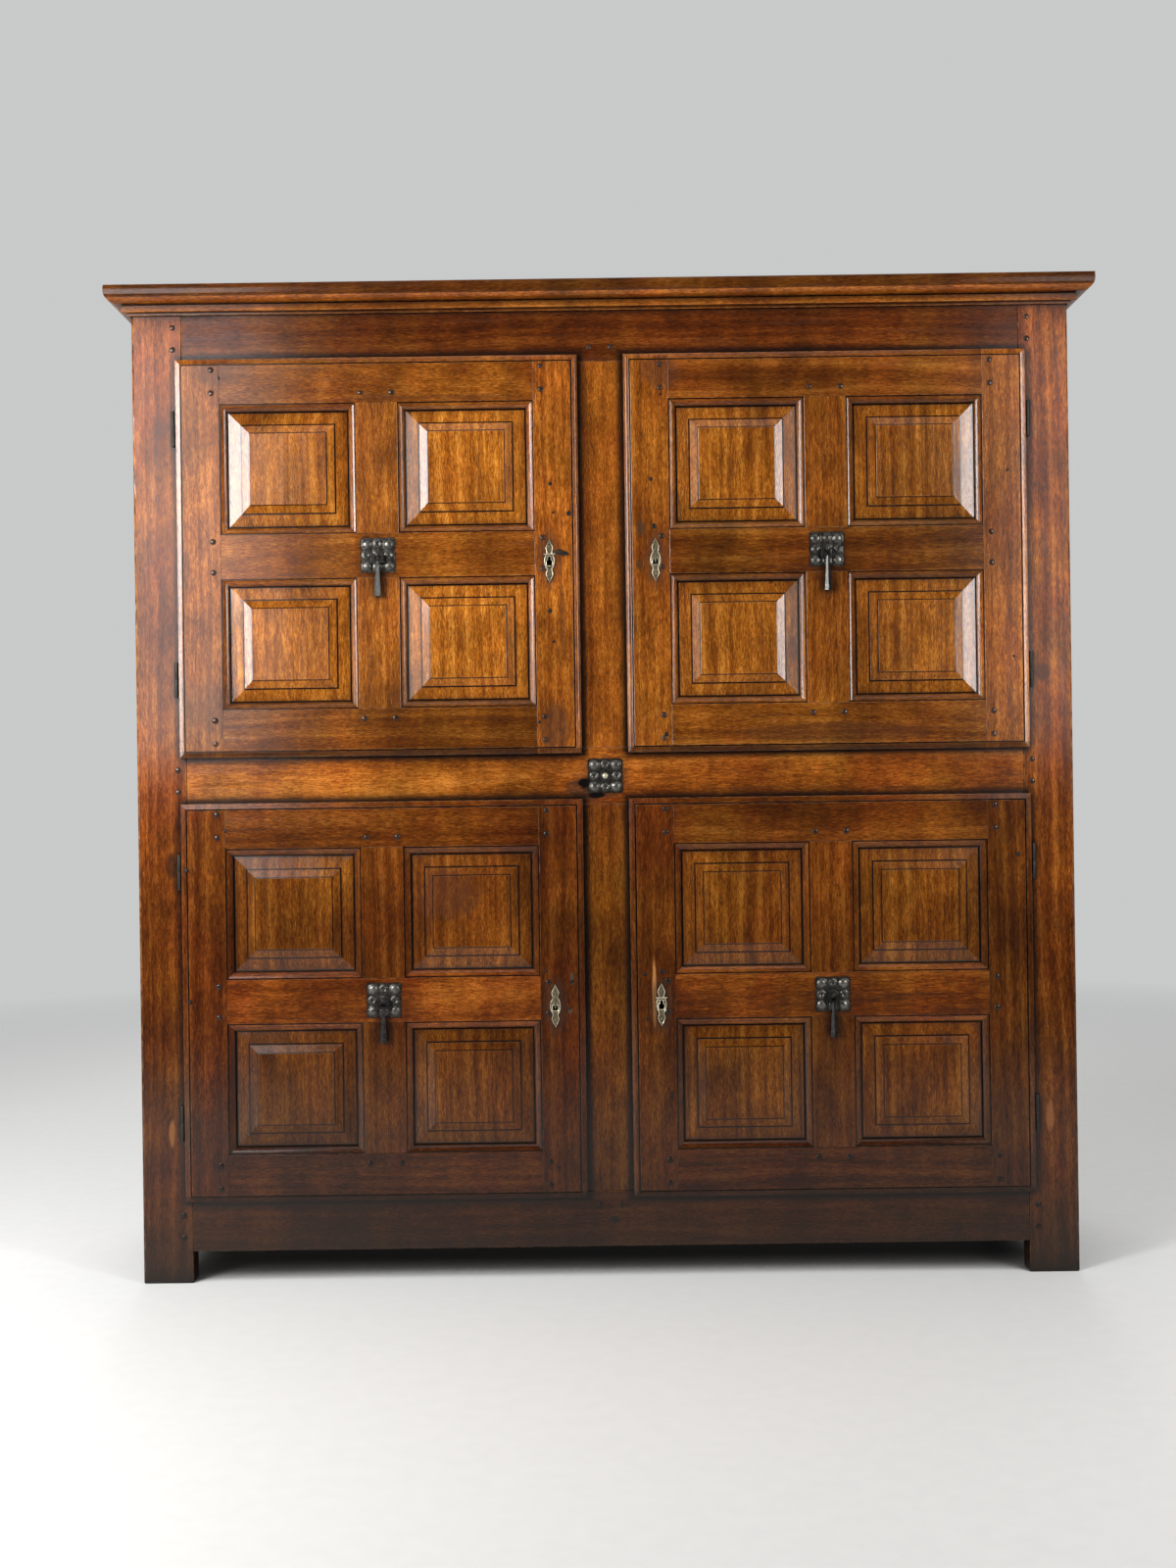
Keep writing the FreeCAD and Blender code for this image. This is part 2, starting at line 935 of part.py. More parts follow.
# Keyhole plates and covers

cover_rear = escutcheon_front - cover_gap
cover_front = cover_rear - cover_thickness
cover_pivot = Vector(keyhole_x, escutcheon_front, keyhole_height + cover_rise)


def escutcheon(covered):
    # A plate with a round body and a pointed leaf at each end
    def at(x, z):
        return Vector(keyhole_x + x, door_front, keyhole_height + z)

    tip = escutcheon_height / 2
    shoulder = tip - escutcheon_tip_length
    waist = escutcheon_body / 2
    leaf_half = escutcheon_tip_width / 2
    waist_half = escutcheon_waist / 2
    body_half = escutcheon_width / 2
    outline = face_of(
        at(0, tip),
        [
            at(leaf_half, shoulder),
            at(waist_half, waist),
            (at(body_half, 0), at(waist_half, -waist)),
            at(leaf_half, -shoulder),
            at(0, -tip),
            at(-leaf_half, -shoulder),
            at(-waist_half, -waist),
            (at(-body_half, 0), at(-waist_half, waist)),
            at(-leaf_half, shoulder),
        ],
    )
    plate = outline.extrude(Vector(0, -escutcheon_thickness, 0)).cut(keyhole())
    if not covered:
        return plate
    head_rear = Vector(cover_pivot.x, cover_front - cover_gap, cover_pivot.z)
    head_front = head_rear - backward * rivet_head_thickness
    rivet = prism(round_sides, rivet_radius, cover_pivot, head_rear, rightward, upward)
    head = prism(hole_sides, rivet_head_radius, head_rear, head_front, rightward, upward)
    return plate.fuse([rivet, head]).removeSplitter()


def key_cover():
    # A leaf that hangs from its rivet over the keyhole
    def at(x, z):
        return Vector(cover_pivot.x + x, cover_rear, cover_pivot.z + z)

    neck = cover_neck_width / 2
    half = cover_width / 2
    outline = face_of(
        at(-neck, 0),
        [
            (at(0, cover_crown), at(neck, 0)),
            at(half, -cover_shoulder),
            at(0, -cover_length),
            at(-half, -cover_shoulder),
        ],
    )
    leaf = outline.extrude(Vector(0, -cover_thickness, 0))
    eye_front = cover_pivot - backward * (cover_gap + cover_thickness + past)
    bore_radius = flats_about(rivet_radius + rivet_play)
    return leaf.cut(prism(hole_sides, bore_radius, cover_pivot, eye_front, rightward, upward))


# Handles and the plate between the doors

eye_y = door_front - plate_thickness - eye_standoff


def boss(foot):
    # A beaten boss: a steep side, then a flatter crown
    rings = (
        (boss_radius, 0),
        (boss_shoulder_radius, boss_shoulder_height),
        (boss_crown_radius, boss_height),
    )
    outlines = [
        polygon(boss_sides, radius, foot - backward * rise, rightward, upward) for radius, rise in rings
    ]
    return Part.makeLoft(outlines, True, True)


def embossed_plate(x, y, z):
    # A square plate with its back at y and a boss near each corner
    half = plate_side / 2
    front = y - plate_thickness
    plate = block(x - half, x + half, front, y, z - half, z + half)
    reach = half - boss_inset
    bosses = [
        boss(Vector(x + right, front, z + rise)) for right in (-reach, reach) for rise in (-reach, reach)
    ]
    return plate.fuse(bosses)


def shank(room):
    # The square shank of the eye, which goes through the plate and the door
    half = shank_side / 2
    rear = door_rear + clench_thickness
    limits = (handle_x - half, handle_x + half, eye_y, rear, handle_z - half, handle_z + half)
    return block(*grown(limits, room))


def eye_line(x):
    # The place on the handle's axis at this distance to the right of its middle
    return Vector(handle_x + x, eye_y, handle_z)


def handle_plate():
    # The plate, and the eye, whose shank is clenched behind the door
    half = eye_width / 2
    eye = prism(hole_sides, eye_radius, eye_line(-half), eye_line(half), backward, upward)
    clench = block(
        handle_x - clench_width / 2,
        handle_x + clench_width / 2,
        door_rear,
        door_rear + clench_thickness,
        handle_z - clench_length,
        handle_z,
    )
    bore_radius = flats_about(bail_radius + bail_play)
    bore = prism(hole_sides, bore_radius, eye_line(-half), eye_line(half), backward, upward)
    plate = embossed_plate(handle_x, door_front, handle_z).cut(shank(shank_play))
    return [plate, eye.fuse([shank(0), clench]).cut(bore).removeSplitter()]


def drop_handle():
    # A forged loop, hung in the eye by its top bar, with a tapered drop below
    half = bail_width / 2
    inner = half - bail_thickness
    deep = bail_thickness / 2
    front = eye_y - deep
    rear = eye_y + deep
    foot = handle_z - bail_height - bail_thickness
    bar = prism(round_sides, bail_radius, eye_line(-inner), eye_line(inner), backward, upward)
    left = block(handle_x - half, handle_x - inner, front, rear, foot, handle_z + deep)
    low = block(handle_x - half, handle_x + half, front, rear, foot, foot + bail_thickness)
    drop_rings = ((drop_top_radius, foot + deep), (drop_bottom_radius, foot - drop_length))
    outlines = [
        polygon(drop_sides, radius, Vector(handle_x, eye_y, height), rightward, backward)
        for radius, height in drop_rings
    ]
    drop = Part.makeLoft(outlines, True, True)
    return bar.fuse([left, flipped(left, handle_x), low, drop]).removeSplitter()


def centre_plate():
    front = face_y - plate_thickness
    plate = embossed_plate(0, face_y, crossing_z)
    # A hammered dome, which rises as a quarter of an ellipse
    outlines = []
    for step in range(nail_steps):
        angle = math.pi / 2 * step / nail_steps
        centre = Vector(0, front - nail_height * math.sin(angle), crossing_z)
        outlines.append(polygon(round_sides, nail_radius * math.cos(angle), centre, rightward, upward))
    head = Part.makeLoft(outlines, True, True)
    return [plate, head]


def fittings(make):
    # The hinge pieces that belong to the frame, at every hinge of every door
    return [placed(make(height), hand, x, z) for name, hand, x, z in doors for height in hinge_heights]


def save_carcase():
    stile = front_stile()
    post = back_post()
    side_rails = [side_rail(levels) for levels in rail_levels]
    side_panels = [side_panel(bay, 0) for bay in bay_levels]
    save("front_stiles", [stile, flipped(stile, 0)])
    save("back_stiles", [post, flipped(post, 0)])
    save("bottom_rail", [front_rail(bottom_rail_z)])
    save("middle_rail", [front_rail(middle_rail_z)])
    save("top_rail", [front_rail(top_rail_z)])
    save("muntins", [centre_post(bay) for bay in bay_levels])
    save("side_rails", side_rails + [flipped(rail, 0) for rail in side_rails])
    save("side_panels", side_panels + [flipped(panel, 0) for panel in side_panels])
    save("back_rails", [back_rail(levels) for levels in rail_levels])
    save("back_boards", back_boards())
    save(
        "top_boards",
        flat_boards(frame_half, face_y, back_y, top_board_count, overall_height, top_board_thickness),
    )
    save("cornice", cornice())
    save("shelf_boards", shelf_boards())
    save("shelf_battens", shelf_battens())
    save("frame_pegs", [peg(x, z, 0) for x, z in peg_places()])
    save("hinge_plates", fittings(frame_hinge))
    save("hinge_pins", fittings(hinge_pin))
    save("centre_plate", centre_plate())


def save_doors():
    pieces = {
        "stiles": door_stiles(),
        "rails": door_rails(),
        "muntins": door_muntins(),
        "panels": door_panels(),
        "hinge_straps": [door_hinge(height) for height in hinge_heights],
        "lock_case": [lock_case()],
        "lock_bolt": [lock_bolt()],
        "handle_plate": handle_plate(),
        "drop_handle": [drop_handle()],
    }
    for name, hand, x, z in doors:
        covered = name in covered_keyholes
        door_pieces = {**pieces, "escutcheon": [escutcheon(covered)]}
        if covered:
            door_pieces["key_cover"] = [key_cover()]
        for piece, solids in door_pieces.items():
            save(name + "_" + piece, [placed(solid, hand, x, z) for solid in solids])


os.makedirs("parts", exist_ok=True)
save_carcase()
save_doors()
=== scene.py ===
import bpy
import bmesh
import json
import math
import random
from mathutils import Matrix, Vector, noise

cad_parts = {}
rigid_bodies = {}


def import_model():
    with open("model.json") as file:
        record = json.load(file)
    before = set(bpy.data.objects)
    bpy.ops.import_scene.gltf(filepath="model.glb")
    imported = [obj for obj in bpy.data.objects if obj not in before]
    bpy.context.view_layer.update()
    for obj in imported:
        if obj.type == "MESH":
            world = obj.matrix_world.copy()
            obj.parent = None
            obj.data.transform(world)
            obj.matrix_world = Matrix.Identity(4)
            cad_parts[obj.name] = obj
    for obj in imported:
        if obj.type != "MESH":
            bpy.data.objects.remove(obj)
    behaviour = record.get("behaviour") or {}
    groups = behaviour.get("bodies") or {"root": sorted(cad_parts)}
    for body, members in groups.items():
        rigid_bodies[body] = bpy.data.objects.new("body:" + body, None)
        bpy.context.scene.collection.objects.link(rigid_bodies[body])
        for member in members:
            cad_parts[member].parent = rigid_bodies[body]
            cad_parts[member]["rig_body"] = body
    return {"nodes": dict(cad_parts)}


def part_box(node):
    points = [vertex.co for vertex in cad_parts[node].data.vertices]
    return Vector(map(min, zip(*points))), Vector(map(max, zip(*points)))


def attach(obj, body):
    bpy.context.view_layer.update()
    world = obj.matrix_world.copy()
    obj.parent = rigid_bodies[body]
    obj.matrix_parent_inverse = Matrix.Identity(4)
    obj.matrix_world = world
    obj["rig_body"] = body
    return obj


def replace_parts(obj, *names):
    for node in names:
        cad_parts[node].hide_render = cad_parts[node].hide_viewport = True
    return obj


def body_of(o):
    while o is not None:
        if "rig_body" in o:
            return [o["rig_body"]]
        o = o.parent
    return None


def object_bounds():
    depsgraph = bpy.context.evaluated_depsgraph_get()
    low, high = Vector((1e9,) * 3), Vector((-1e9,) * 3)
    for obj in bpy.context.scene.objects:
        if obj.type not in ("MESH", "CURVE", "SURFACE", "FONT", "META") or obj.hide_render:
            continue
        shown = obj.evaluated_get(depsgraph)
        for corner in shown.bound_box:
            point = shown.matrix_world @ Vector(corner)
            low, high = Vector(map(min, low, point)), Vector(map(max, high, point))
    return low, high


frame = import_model()
cadLow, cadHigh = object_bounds()
cadNodes = frame["nodes"]
doorNames = ("upper_left", "upper_right", "lower_left", "lower_right")
coveredDoors = ("upper_right", "lower_left")  # keyholes that keep a swinging cover


# node trees

def addNode(tree, kind, sockets=None, **settings):
    made = tree.nodes.new(kind)
    for name, value in settings.items():
        setattr(made, name, value)
    for key, value in (sockets or {}).items():
        if isinstance(value, bpy.types.NodeSocket):
            tree.links.new(value, made.inputs[key])
        else:
            made.inputs[key].default_value = value
    return made


def calc(tree, operation, *values):
    return addNode(tree, "ShaderNodeMath", dict(enumerate(values)), operation=operation).outputs[0]


def remap(tree, value, low, high, toLow=0.0, toHigh=1.0):
    sockets = {"Value": value, "From Min": low, "From Max": high, "To Min": toLow, "To Max": toHigh}
    return addNode(tree, "ShaderNodeMapRange", sockets).outputs[0]


def blendColour(tree, share, under, over, way="MIX"):
    sockets = {0: share, 6: under, 7: over}
    return addNode(tree, "ShaderNodeMix", sockets, data_type="RGBA", blend_type=way).outputs[2]


def noiseAt(tree, place, stretch, detail=2.0, roughness=0.5):
    spread = addNode(tree, "ShaderNodeMapping", {"Vector": place, "Scale": stretch})
    sockets = {"Vector": spread.outputs[0], "Scale": 1.0, "Detail": detail, "Roughness": roughness}
    return addNode(tree, "ShaderNodeTexNoise", sockets).outputs[0]


def rampOf(tree, value, stops):
    made = addNode(tree, "ShaderNodeValToRGB", {0: value})
    band = made.color_ramp
    while len(band.elements) < len(stops):
        band.elements.new(0.5)
    for element, (place, colour) in zip(band.elements, stops):
        element.position = place
        element.color = (*colour, 1.0)
    return made.outputs[0]


def attributeOf(tree, name, output="Fac"):
    return addNode(tree, "ShaderNodeAttribute", attribute_name=name).outputs[output]


def grey(level):
    return (level, level, level, 1.0)


def newFinish(name):
    finish = bpy.data.materials.new(name)
    finish.use_nodes = True
    finish.node_tree.nodes.clear()
    return finish, finish.node_tree


def closeFinish(tree, sockets):
    shader = addNode(tree, "ShaderNodeBsdfPrincipled", sockets)
    addNode(tree, "ShaderNodeOutputMaterial", {"Surface": shader.outputs[0]})


# wood: the grain attribute runs along each board, tone goes from red to gold

walnut = {
    "goldDark": (0.120, 0.031, 0.003), "goldMid": (0.268, 0.080, 0.006), "goldLight": (0.450, 0.180, 0.025),
    "redDark": (0.068, 0.013, 0.002), "redMid": (0.170, 0.033, 0.0035), "redLight": (0.318, 0.081, 0.012),
    "ringsPerMetre": 70.0, "grimeAndShade": (0.005, 0.003, 0.002, 1.0), "grimeAndShadeReach": 0.011, "grimeAndShadeShare": 0.97,
    "wornColour": (0.360, 0.165, 0.055, 1.0), "poreShare": 0.58, "blotchShare": 0.8, "smudge": 0.20,
    "cornerReach": 0.040, "cornerShade": 0.90, "pore": (0.030, 0.012, 0.006, 1.0),
    "streak": (0.045, 0.016, 0.008, 1.0), "streakShare": 0.62,
    "foot": (0.012, 0.008, 0.005, 1.0), "footShare": 0.60, "footHeights": (0.16, 0.02),
    "paintedHeightShade": ((0.0, 0.17), (0.08, 0.25), (0.18, 0.35), (0.27, 0.46), (0.46, 0.68), (0.54, 1.0)),
    "smoothLow": 0.34, "smoothHigh": 0.56, "coat": 0.6, "coatRoughness": 0.14, "bump": 0.30,
}
woodNoise = {  # stretch, detail and roughness
    "bend": ((1.1, 5.0, 5.0), 2.0), "fibre": ((85.0, 640.0, 640.0), 4.0, 0.7),
    "pores": ((170.0, 680.0, 680.0), 2.0, 0.6), "streak": ((4.0, 90.0, 90.0), 4.0, 0.62),
    "mottle": ((14.0, 110.0, 110.0), 3.0, 0.6), "ragged": ((30.0, 160.0, 160.0), 3.0),
    "sag": ((3.0, 22.0, 22.0), 2.0), "blotch": ((6.0, 6.0, 4.5), 4.0, 0.6),
    "warmth": ((10.0, 10.0, 6.0), 3.0, 0.6), "smudge": ((26.0, 26.0, 14.0), 4.0, 0.65),
    "flaking": ((60.0, 60.0, 60.0), 3.0, 0.6), "smear": ((14.0, 14.0, 9.0), 3.0),
}
figure = {  # how rings, fibre and mottle share in the colour, and where its three stops lie
    "rings": 0.24, "fibre": 0.56, "mottle": 0.20, "stops": (0.41, 0.51, 0.61), "bend": 0.05, "warmth": 0.28,
}
relief = {"fibre": 0.16, "sag": 2.2, "pores": 0.16, "depth": 0.0011}
panelLines = {  # painted shade lines round each panel, at its steps: distance from the opening's edge, half width, strength
    "tongue": 0.00425, "field": 0.060, "fieldSpread": 0.002,
    "lines": ((0.0146, 0.0020, 0.97), (0.0380, 0.0021, 0.92), (0.0530, 0.0016, 0.80)),
}
lipLines = {  # painted shade in the quirk inside each door's lip and along its bottom lip, and painted shadow on the frame round each door
    "quirk": 0.0106, "quirkHalf": 0.0015, "quirkShare": 0.85, "doorFace": (-0.2450, -0.2470),
    "lowLipShare": 0.60, "lowLipFrom": -0.004, "blur": 0.001, "frameFace": (-0.2380, -0.2395),
    "doorShadowReach": 0.015, "doorShadowFrom": 0.003, "doorShadowShare": 0.85, "doorShadowAtHinges": 0.25, "hingeBlur": 0.006,
}
dryWood = dict(
    walnut, goldDark=(0.110, 0.062, 0.030), goldMid=(0.200, 0.122, 0.062), goldLight=(0.300, 0.200, 0.112),
    redDark=(0.080, 0.046, 0.026), redMid=(0.150, 0.088, 0.048), redLight=(0.240, 0.150, 0.085),
    smoothLow=0.62, smoothHigh=0.85, coat=0.0, bump=0.6, grimeAndShadeShare=0.7, poreShare=0.5,
    blotchShare=0.35, smudge=0.10,
    paintedHeightShade=((0.0, 0.75), (0.3, 0.9), (1.0, 1.0)), wornColour=(0.30, 0.20, 0.11, 1.0),
)
woodDepths = ("Dark", "Mid", "Light")


def marksOn(front, rows):  # x, z, half width, half height, colour and strength of each mark
    depth = 0.02
    return [
        ((x, front, z), (halfWidth, depth, halfHeight), (*colour, 1.0), strength)
        for x, z, halfWidth, halfHeight, colour, strength in rows
    ]


frameMarks = marksOn(-0.240, (
    (-0.796, 0.272, 0.006, 0.027, (0.190, 0.072, 0.019), 0.65),  # bare wood
    (0.800, 0.283, 0.008, 0.030, (0.190, 0.072, 0.019), 0.65),
    (-0.030, 0.888, 0.046, 0.024, (0.030, 0.016, 0.010), 0.70),  # stain by the plate
    (0.000, 0.9115, 0.044, 0.040, (0.040, 0.018, 0.010), 0.6),
    (-0.038, 0.898, 0.012, 0.012, (0.003, 0.002, 0.002), 1.0),  # charred holes
    (-0.016, 0.877, 0.017, 0.007, (0.003, 0.002, 0.002), 1.0),
    (0.006, 0.105, 0.010, 0.007, (0.006, 0.004, 0.003), 1.0),  # knot hole
    (-0.797, 1.551, 0.011, 0.014, (0.055, 0.016, 0.006), 0.65),  # worn by nails
    (0.797, 1.090, 0.014, 0.018, (0.040, 0.014, 0.007), 0.7),
    (-0.790, 0.757, 0.010, 0.026, (0.022, 0.009, 0.005), 0.75),
))
doorMarks = marksOn(-0.254, (
    (0.0835, 0.520, 0.004, 0.062, (0.300, 0.130, 0.040), 0.85),  # split by the lock
    (0.096, 1.302, 0.022, 0.055, (0.050, 0.022, 0.012), 0.55),
    (-0.096, 1.302, 0.024, 0.055, (0.050, 0.022, 0.012), 0.55),
    (0.096, 0.497, 0.022, 0.055, (0.030, 0.016, 0.010), 0.55),
    (-0.096, 0.497, 0.022, 0.055, (0.030, 0.016, 0.010), 0.55),
    (0.0705, 1.359, 0.008, 0.015, (0.034, 0.022, 0.012), 0.70),  # older locks
    (0.0657, 1.293, 0.007, 0.010, (0.030, 0.019, 0.010), 0.70),
    (-0.0655, 0.545, 0.004, 0.014, (0.048, 0.040, 0.026), 0.65),
    (-0.0690, 0.487, 0.005, 0.006, (0.048, 0.040, 0.026), 0.65),
    (-0.728, 1.010, 0.040, 0.090, (0.060, 0.024, 0.012), 0.35),  # dark old wax
    (-0.088, 1.000, 0.028, 0.045, (0.040, 0.018, 0.010), 0.60),
    (-0.690, 1.650, 0.060, 0.024, (0.050, 0.020, 0.010), 0.45),
    (0.420, 0.985, 0.200, 0.020, (0.040, 0.014, 0.006), 0.50),
    (0.110, 1.640, 0.040, 0.030, (0.045, 0.018, 0.010), 0.50),
    (0.345, 1.135, 0.010, 0.030, (0.040, 0.015, 0.008), 0.55),
    (-0.290, 0.700, 0.060, 0.050, (0.045, 0.018, 0.010), 0.40),
))


def doorInset(tree, place):  # how far inside a door's outline, below zero on the frame
    apart = addNode(tree, "ShaderNodeSeparateXYZ", {0: place}).outputs
    low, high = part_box("upper_right_stiles")
    fromMiddle = calc(tree, "SUBTRACT", calc(tree, "ABSOLUTE", apart[0]), (low.x + high.x) / 2)
    across = calc(tree, "SUBTRACT", (high.x - low.x) / 2, calc(tree, "ABSOLUTE", fromMiddle))
    heights = []
    for door in ("upper_right", "lower_right"):
        low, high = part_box(door + "_stiles")
        fromMiddle = calc(tree, "SUBTRACT", apart[2], (low.z + high.z) / 2)
        heights.append(calc(tree, "SUBTRACT", (high.z - low.z) / 2, calc(tree, "ABSOLUTE", fromMiddle)))
    return calc(tree, "MINIMUM", across, calc(tree, "MAXIMUM", *heights))


# painted shade: a dark line in each lip's quirk and along the bottom lip
def lipShadeMask(tree, place):
    _, depth, height = addNode(tree, "ShaderNodeSeparateXYZ", {0: place}).outputs
    away = calc(tree, "ABSOLUTE", calc(tree, "SUBTRACT", doorInset(tree, place), lipLines["quirk"]))
    line = remap(tree, away, lipLines["quirkHalf"], lipLines["quirkHalf"] * 0.4, 0.0, lipLines["quirkShare"])
    for door in ("upper_right", "lower_right"):  # painted shade: the lip along the bottom is darker
        up = calc(tree, "SUBTRACT", height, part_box(door + "_stiles")[0].z)
        above = remap(tree, up, lipLines["lowLipFrom"], 0.0, 0.0, lipLines["lowLipShare"])
        below = remap(tree, up, lipLines["quirk"] + lipLines["blur"], lipLines["quirk"] - lipLines["blur"])
        line = calc(tree, "MAXIMUM", line, calc(tree, "MULTIPLY", above, below))
    return calc(tree, "MULTIPLY", line, remap(tree, depth, *lipLines["doorFace"]))


# painted shadow on the frame round each door, weaker by the hinges
def doorShadowMask(tree, place):
    apart = addNode(tree, "ShaderNodeSeparateXYZ", {0: place}).outputs
    away = calc(tree, "MULTIPLY", doorInset(tree, place), -1.0)
    doorShadow = remap(tree, away, lipLines["doorShadowReach"], lipLines["doorShadowFrom"], 0.0, lipLines["doorShadowShare"])
    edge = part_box("upper_right_stiles")[1].x
    span = (edge - lipLines["hingeBlur"], edge + lipLines["hingeBlur"])
    reach = remap(tree, calc(tree, "ABSOLUTE", apart[0]), *span, 1.0, lipLines["doorShadowAtHinges"])
    doorShadow = calc(tree, "MULTIPLY", doorShadow, reach)
    return calc(tree, "MULTIPLY", doorShadow, remap(tree, apart[1], *lipLines["frameFace"]))


def woodFinish(name, look, marks=(), edgeMask=None):
    finish, tree = newFinish(name)
    grain = attributeOf(tree, "grain", "Vector")
    tone = attributeOf(tree, "tone")
    depth = attributeOf(tree, "shade")
    worn = attributeOf(tree, "wear")
    place = addNode(tree, "ShaderNodeTexCoord").outputs["Object"]

    along = {key: noiseAt(tree, grain, *woodNoise[key]) for key in (
        "bend", "fibre", "pores", "streak", "mottle", "ragged", "sag",
    )}
    over = {key: noiseAt(tree, place, *woodNoise[key]) for key in (
        "blotch", "warmth", "smudge", "flaking", "smear",
    )}

    # growth rings, which wander along the board
    apart = addNode(tree, "ShaderNodeSeparateXYZ", {0: grain})
    across = calc(tree, "MULTIPLY", apart.outputs[1], apart.outputs[1])
    through = calc(tree, "MULTIPLY", apart.outputs[2], apart.outputs[2])
    radius = calc(tree, "SQRT", calc(tree, "ADD", across, through))
    radius = calc(tree, "ADD", radius, calc(tree, "MULTIPLY", along["bend"], figure["bend"]))
    ringPlace = calc(tree, "MULTIPLY", radius, look["ringsPerMetre"])
    ringSockets = {"W": ringPlace, "Scale": 1.0, "Detail": 3.0, "Roughness": 0.6}
    rings = addNode(tree, "ShaderNodeTexNoise", ringSockets, noise_dimensions="1D").outputs[0]

    fibres = calc(tree, "MULTIPLY", along["fibre"], figure["fibre"])
    pattern = calc(tree, "MULTIPLY_ADD", rings, figure["rings"], fibres)
    pattern = calc(tree, "MULTIPLY_ADD", along["mottle"], figure["mottle"], pattern)
    warmer = remap(tree, over["warmth"], 0.35, 0.65, -figure["warmth"], figure["warmth"])
    tone = calc(tree, "ADD", tone, warmer)
    gold, red = [
        rampOf(tree, pattern, list(zip(figure["stops"], [look[hue + depthName] for depthName in woodDepths])))
        for hue in ("gold", "red")
    ]
    colour = blendColour(tree, tone, red, gold)

    blotchLow, blotchHigh = 1.0 - look["blotchShare"] * 0.6, 1.0 + look["blotchShare"] * 0.15
    uneven = remap(tree, over["blotch"], 0.32, 0.62, blotchLow, blotchHigh)
    smudge = remap(tree, over["smudge"], 0.34, 0.66, 1.0 - look["smudge"], 1.0 + look["smudge"])
    uneven = calc(tree, "MULTIPLY", uneven, smudge)
    colour = blendColour(tree, 1.0, colour, calc(tree, "MULTIPLY", uneven, depth), "MULTIPLY")
    poreMask = calc(tree, "MULTIPLY", remap(tree, along["pores"], 0.54, 0.66), look["poreShare"])
    colour = blendColour(tree, poreMask, colour, look["pore"])
    streakMask = calc(tree, "MULTIPLY", remap(tree, along["streak"], 0.58, 0.74), look["streakShare"])
    colour = blendColour(tree, streakMask, colour, look["streak"])

    # painted shade: the wood is darker towards the bottom
    height = addNode(tree, "ShaderNodeSeparateXYZ", {0: place}).outputs[2]
    steps = [(stop, (level, level, level)) for stop, level in look["paintedHeightShade"]]
    shade = rampOf(tree, calc(tree, "DIVIDE", height, cadHigh.z), steps)
    colour = blendColour(tree, 1.0, colour, shade, "MULTIPLY")
    foot = remap(tree, height, *look["footHeights"], 0.0, look["footShare"])
    colour = blendColour(tree, foot, colour, look["foot"])

    wornMask = calc(tree, "MULTIPLY", worn, remap(tree, over["flaking"], 0.42, 0.62, 0.05, 0.65))
    wornColour = blendColour(tree, 1.0, look["wornColour"], shade, "MULTIPLY")
    colour = blendColour(tree, wornMask, colour, wornColour)

    for centre, half, markColour, strength in marks:
        away = addNode(tree, "ShaderNodeVectorMath", {0: place, 1: centre}, operation="SUBTRACT")
        scaled = addNode(tree, "ShaderNodeVectorMath", {0: away.outputs[0], 1: half}, operation="DIVIDE")
        reach = addNode(tree, "ShaderNodeVectorMath", {0: scaled.outputs[0]}, operation="LENGTH")
        edge = calc(tree, "MULTIPLY_ADD", along["ragged"], 0.9, reach.outputs["Value"])
        colour = blendColour(tree, remap(tree, edge, 1.55, 1.15, 0.0, strength), colour, markColour)

    # painted shade: darker in corners and beside raised parts
    wide = addNode(tree, "ShaderNodeAmbientOcclusion", {"Distance": look["cornerReach"]}, samples=4)
    corner = remap(tree, wide.outputs["AO"], 0.96, 0.55, 0.0, look["cornerShade"])
    colour = blendColour(tree, corner, colour, look["grimeAndShade"])
    # grime and painted shade in creases and recesses
    near = addNode(tree, "ShaderNodeAmbientOcclusion", {"Distance": look["grimeAndShadeReach"]}, samples=4)
    grimeAndShadeMask = remap(tree, near.outputs["AO"], 0.86, 0.60, 0.0, look["grimeAndShadeShare"])
    if edgeMask:
        grimeAndShadeMask = calc(tree, "MAXIMUM", grimeAndShadeMask, edgeMask(tree, place))
    colour = blendColour(tree, grimeAndShadeMask, colour, look["grimeAndShade"])

    inset = attributeOf(tree, "inset")
    # painted shade lines at the panel's steps
    for lineAt, halfWidth, strength in panelLines["lines"]:
        away = calc(tree, "ABSOLUTE", calc(tree, "SUBTRACT", inset, lineAt))
        line = remap(tree, away, halfWidth, halfWidth * 0.4, 0.0, strength)
        colour = blendColour(tree, line, colour, look["grimeAndShade"])
        grimeAndShadeMask = calc(tree, "MAXIMUM", grimeAndShadeMask, line)

    roughness = remap(tree, over["smear"], 0.3, 0.7, look["smoothLow"], look["smoothHigh"])
    roughness = calc(tree, "MAXIMUM", roughness, calc(tree, "MULTIPLY", grimeAndShadeMask, 0.7))
    sagging = calc(tree, "MULTIPLY", along["sag"], relief["sag"])
    rise = calc(tree, "MULTIPLY_ADD", along["fibre"], relief["fibre"], sagging)
    rise = calc(tree, "SUBTRACT", rise, calc(tree, "MULTIPLY", poreMask, relief["pores"]))
    bumpSockets = {"Height": rise, "Strength": look["bump"], "Distance": relief["depth"]}
    bump = addNode(tree, "ShaderNodeBump", bumpSockets)
    closeFinish(tree, {
        "Base Color": colour, "Roughness": roughness, "Normal": bump.outputs[0], "Specular IOR Level": 0.0,
        "Coat Weight": look["coat"], "Coat Roughness": look["coatRoughness"], "Coat Normal": bump.outputs[0],
    })
    return finish


frameWalnut = woodFinish("frameWalnut", walnut, frameMarks, doorShadowMask)
doorWalnut = woodFinish("doorWalnut", walnut, doorMarks, lipShadeMask)
insideWood = woodFinish("insideWood", dryWood)
print("wood finishes made")


# iron

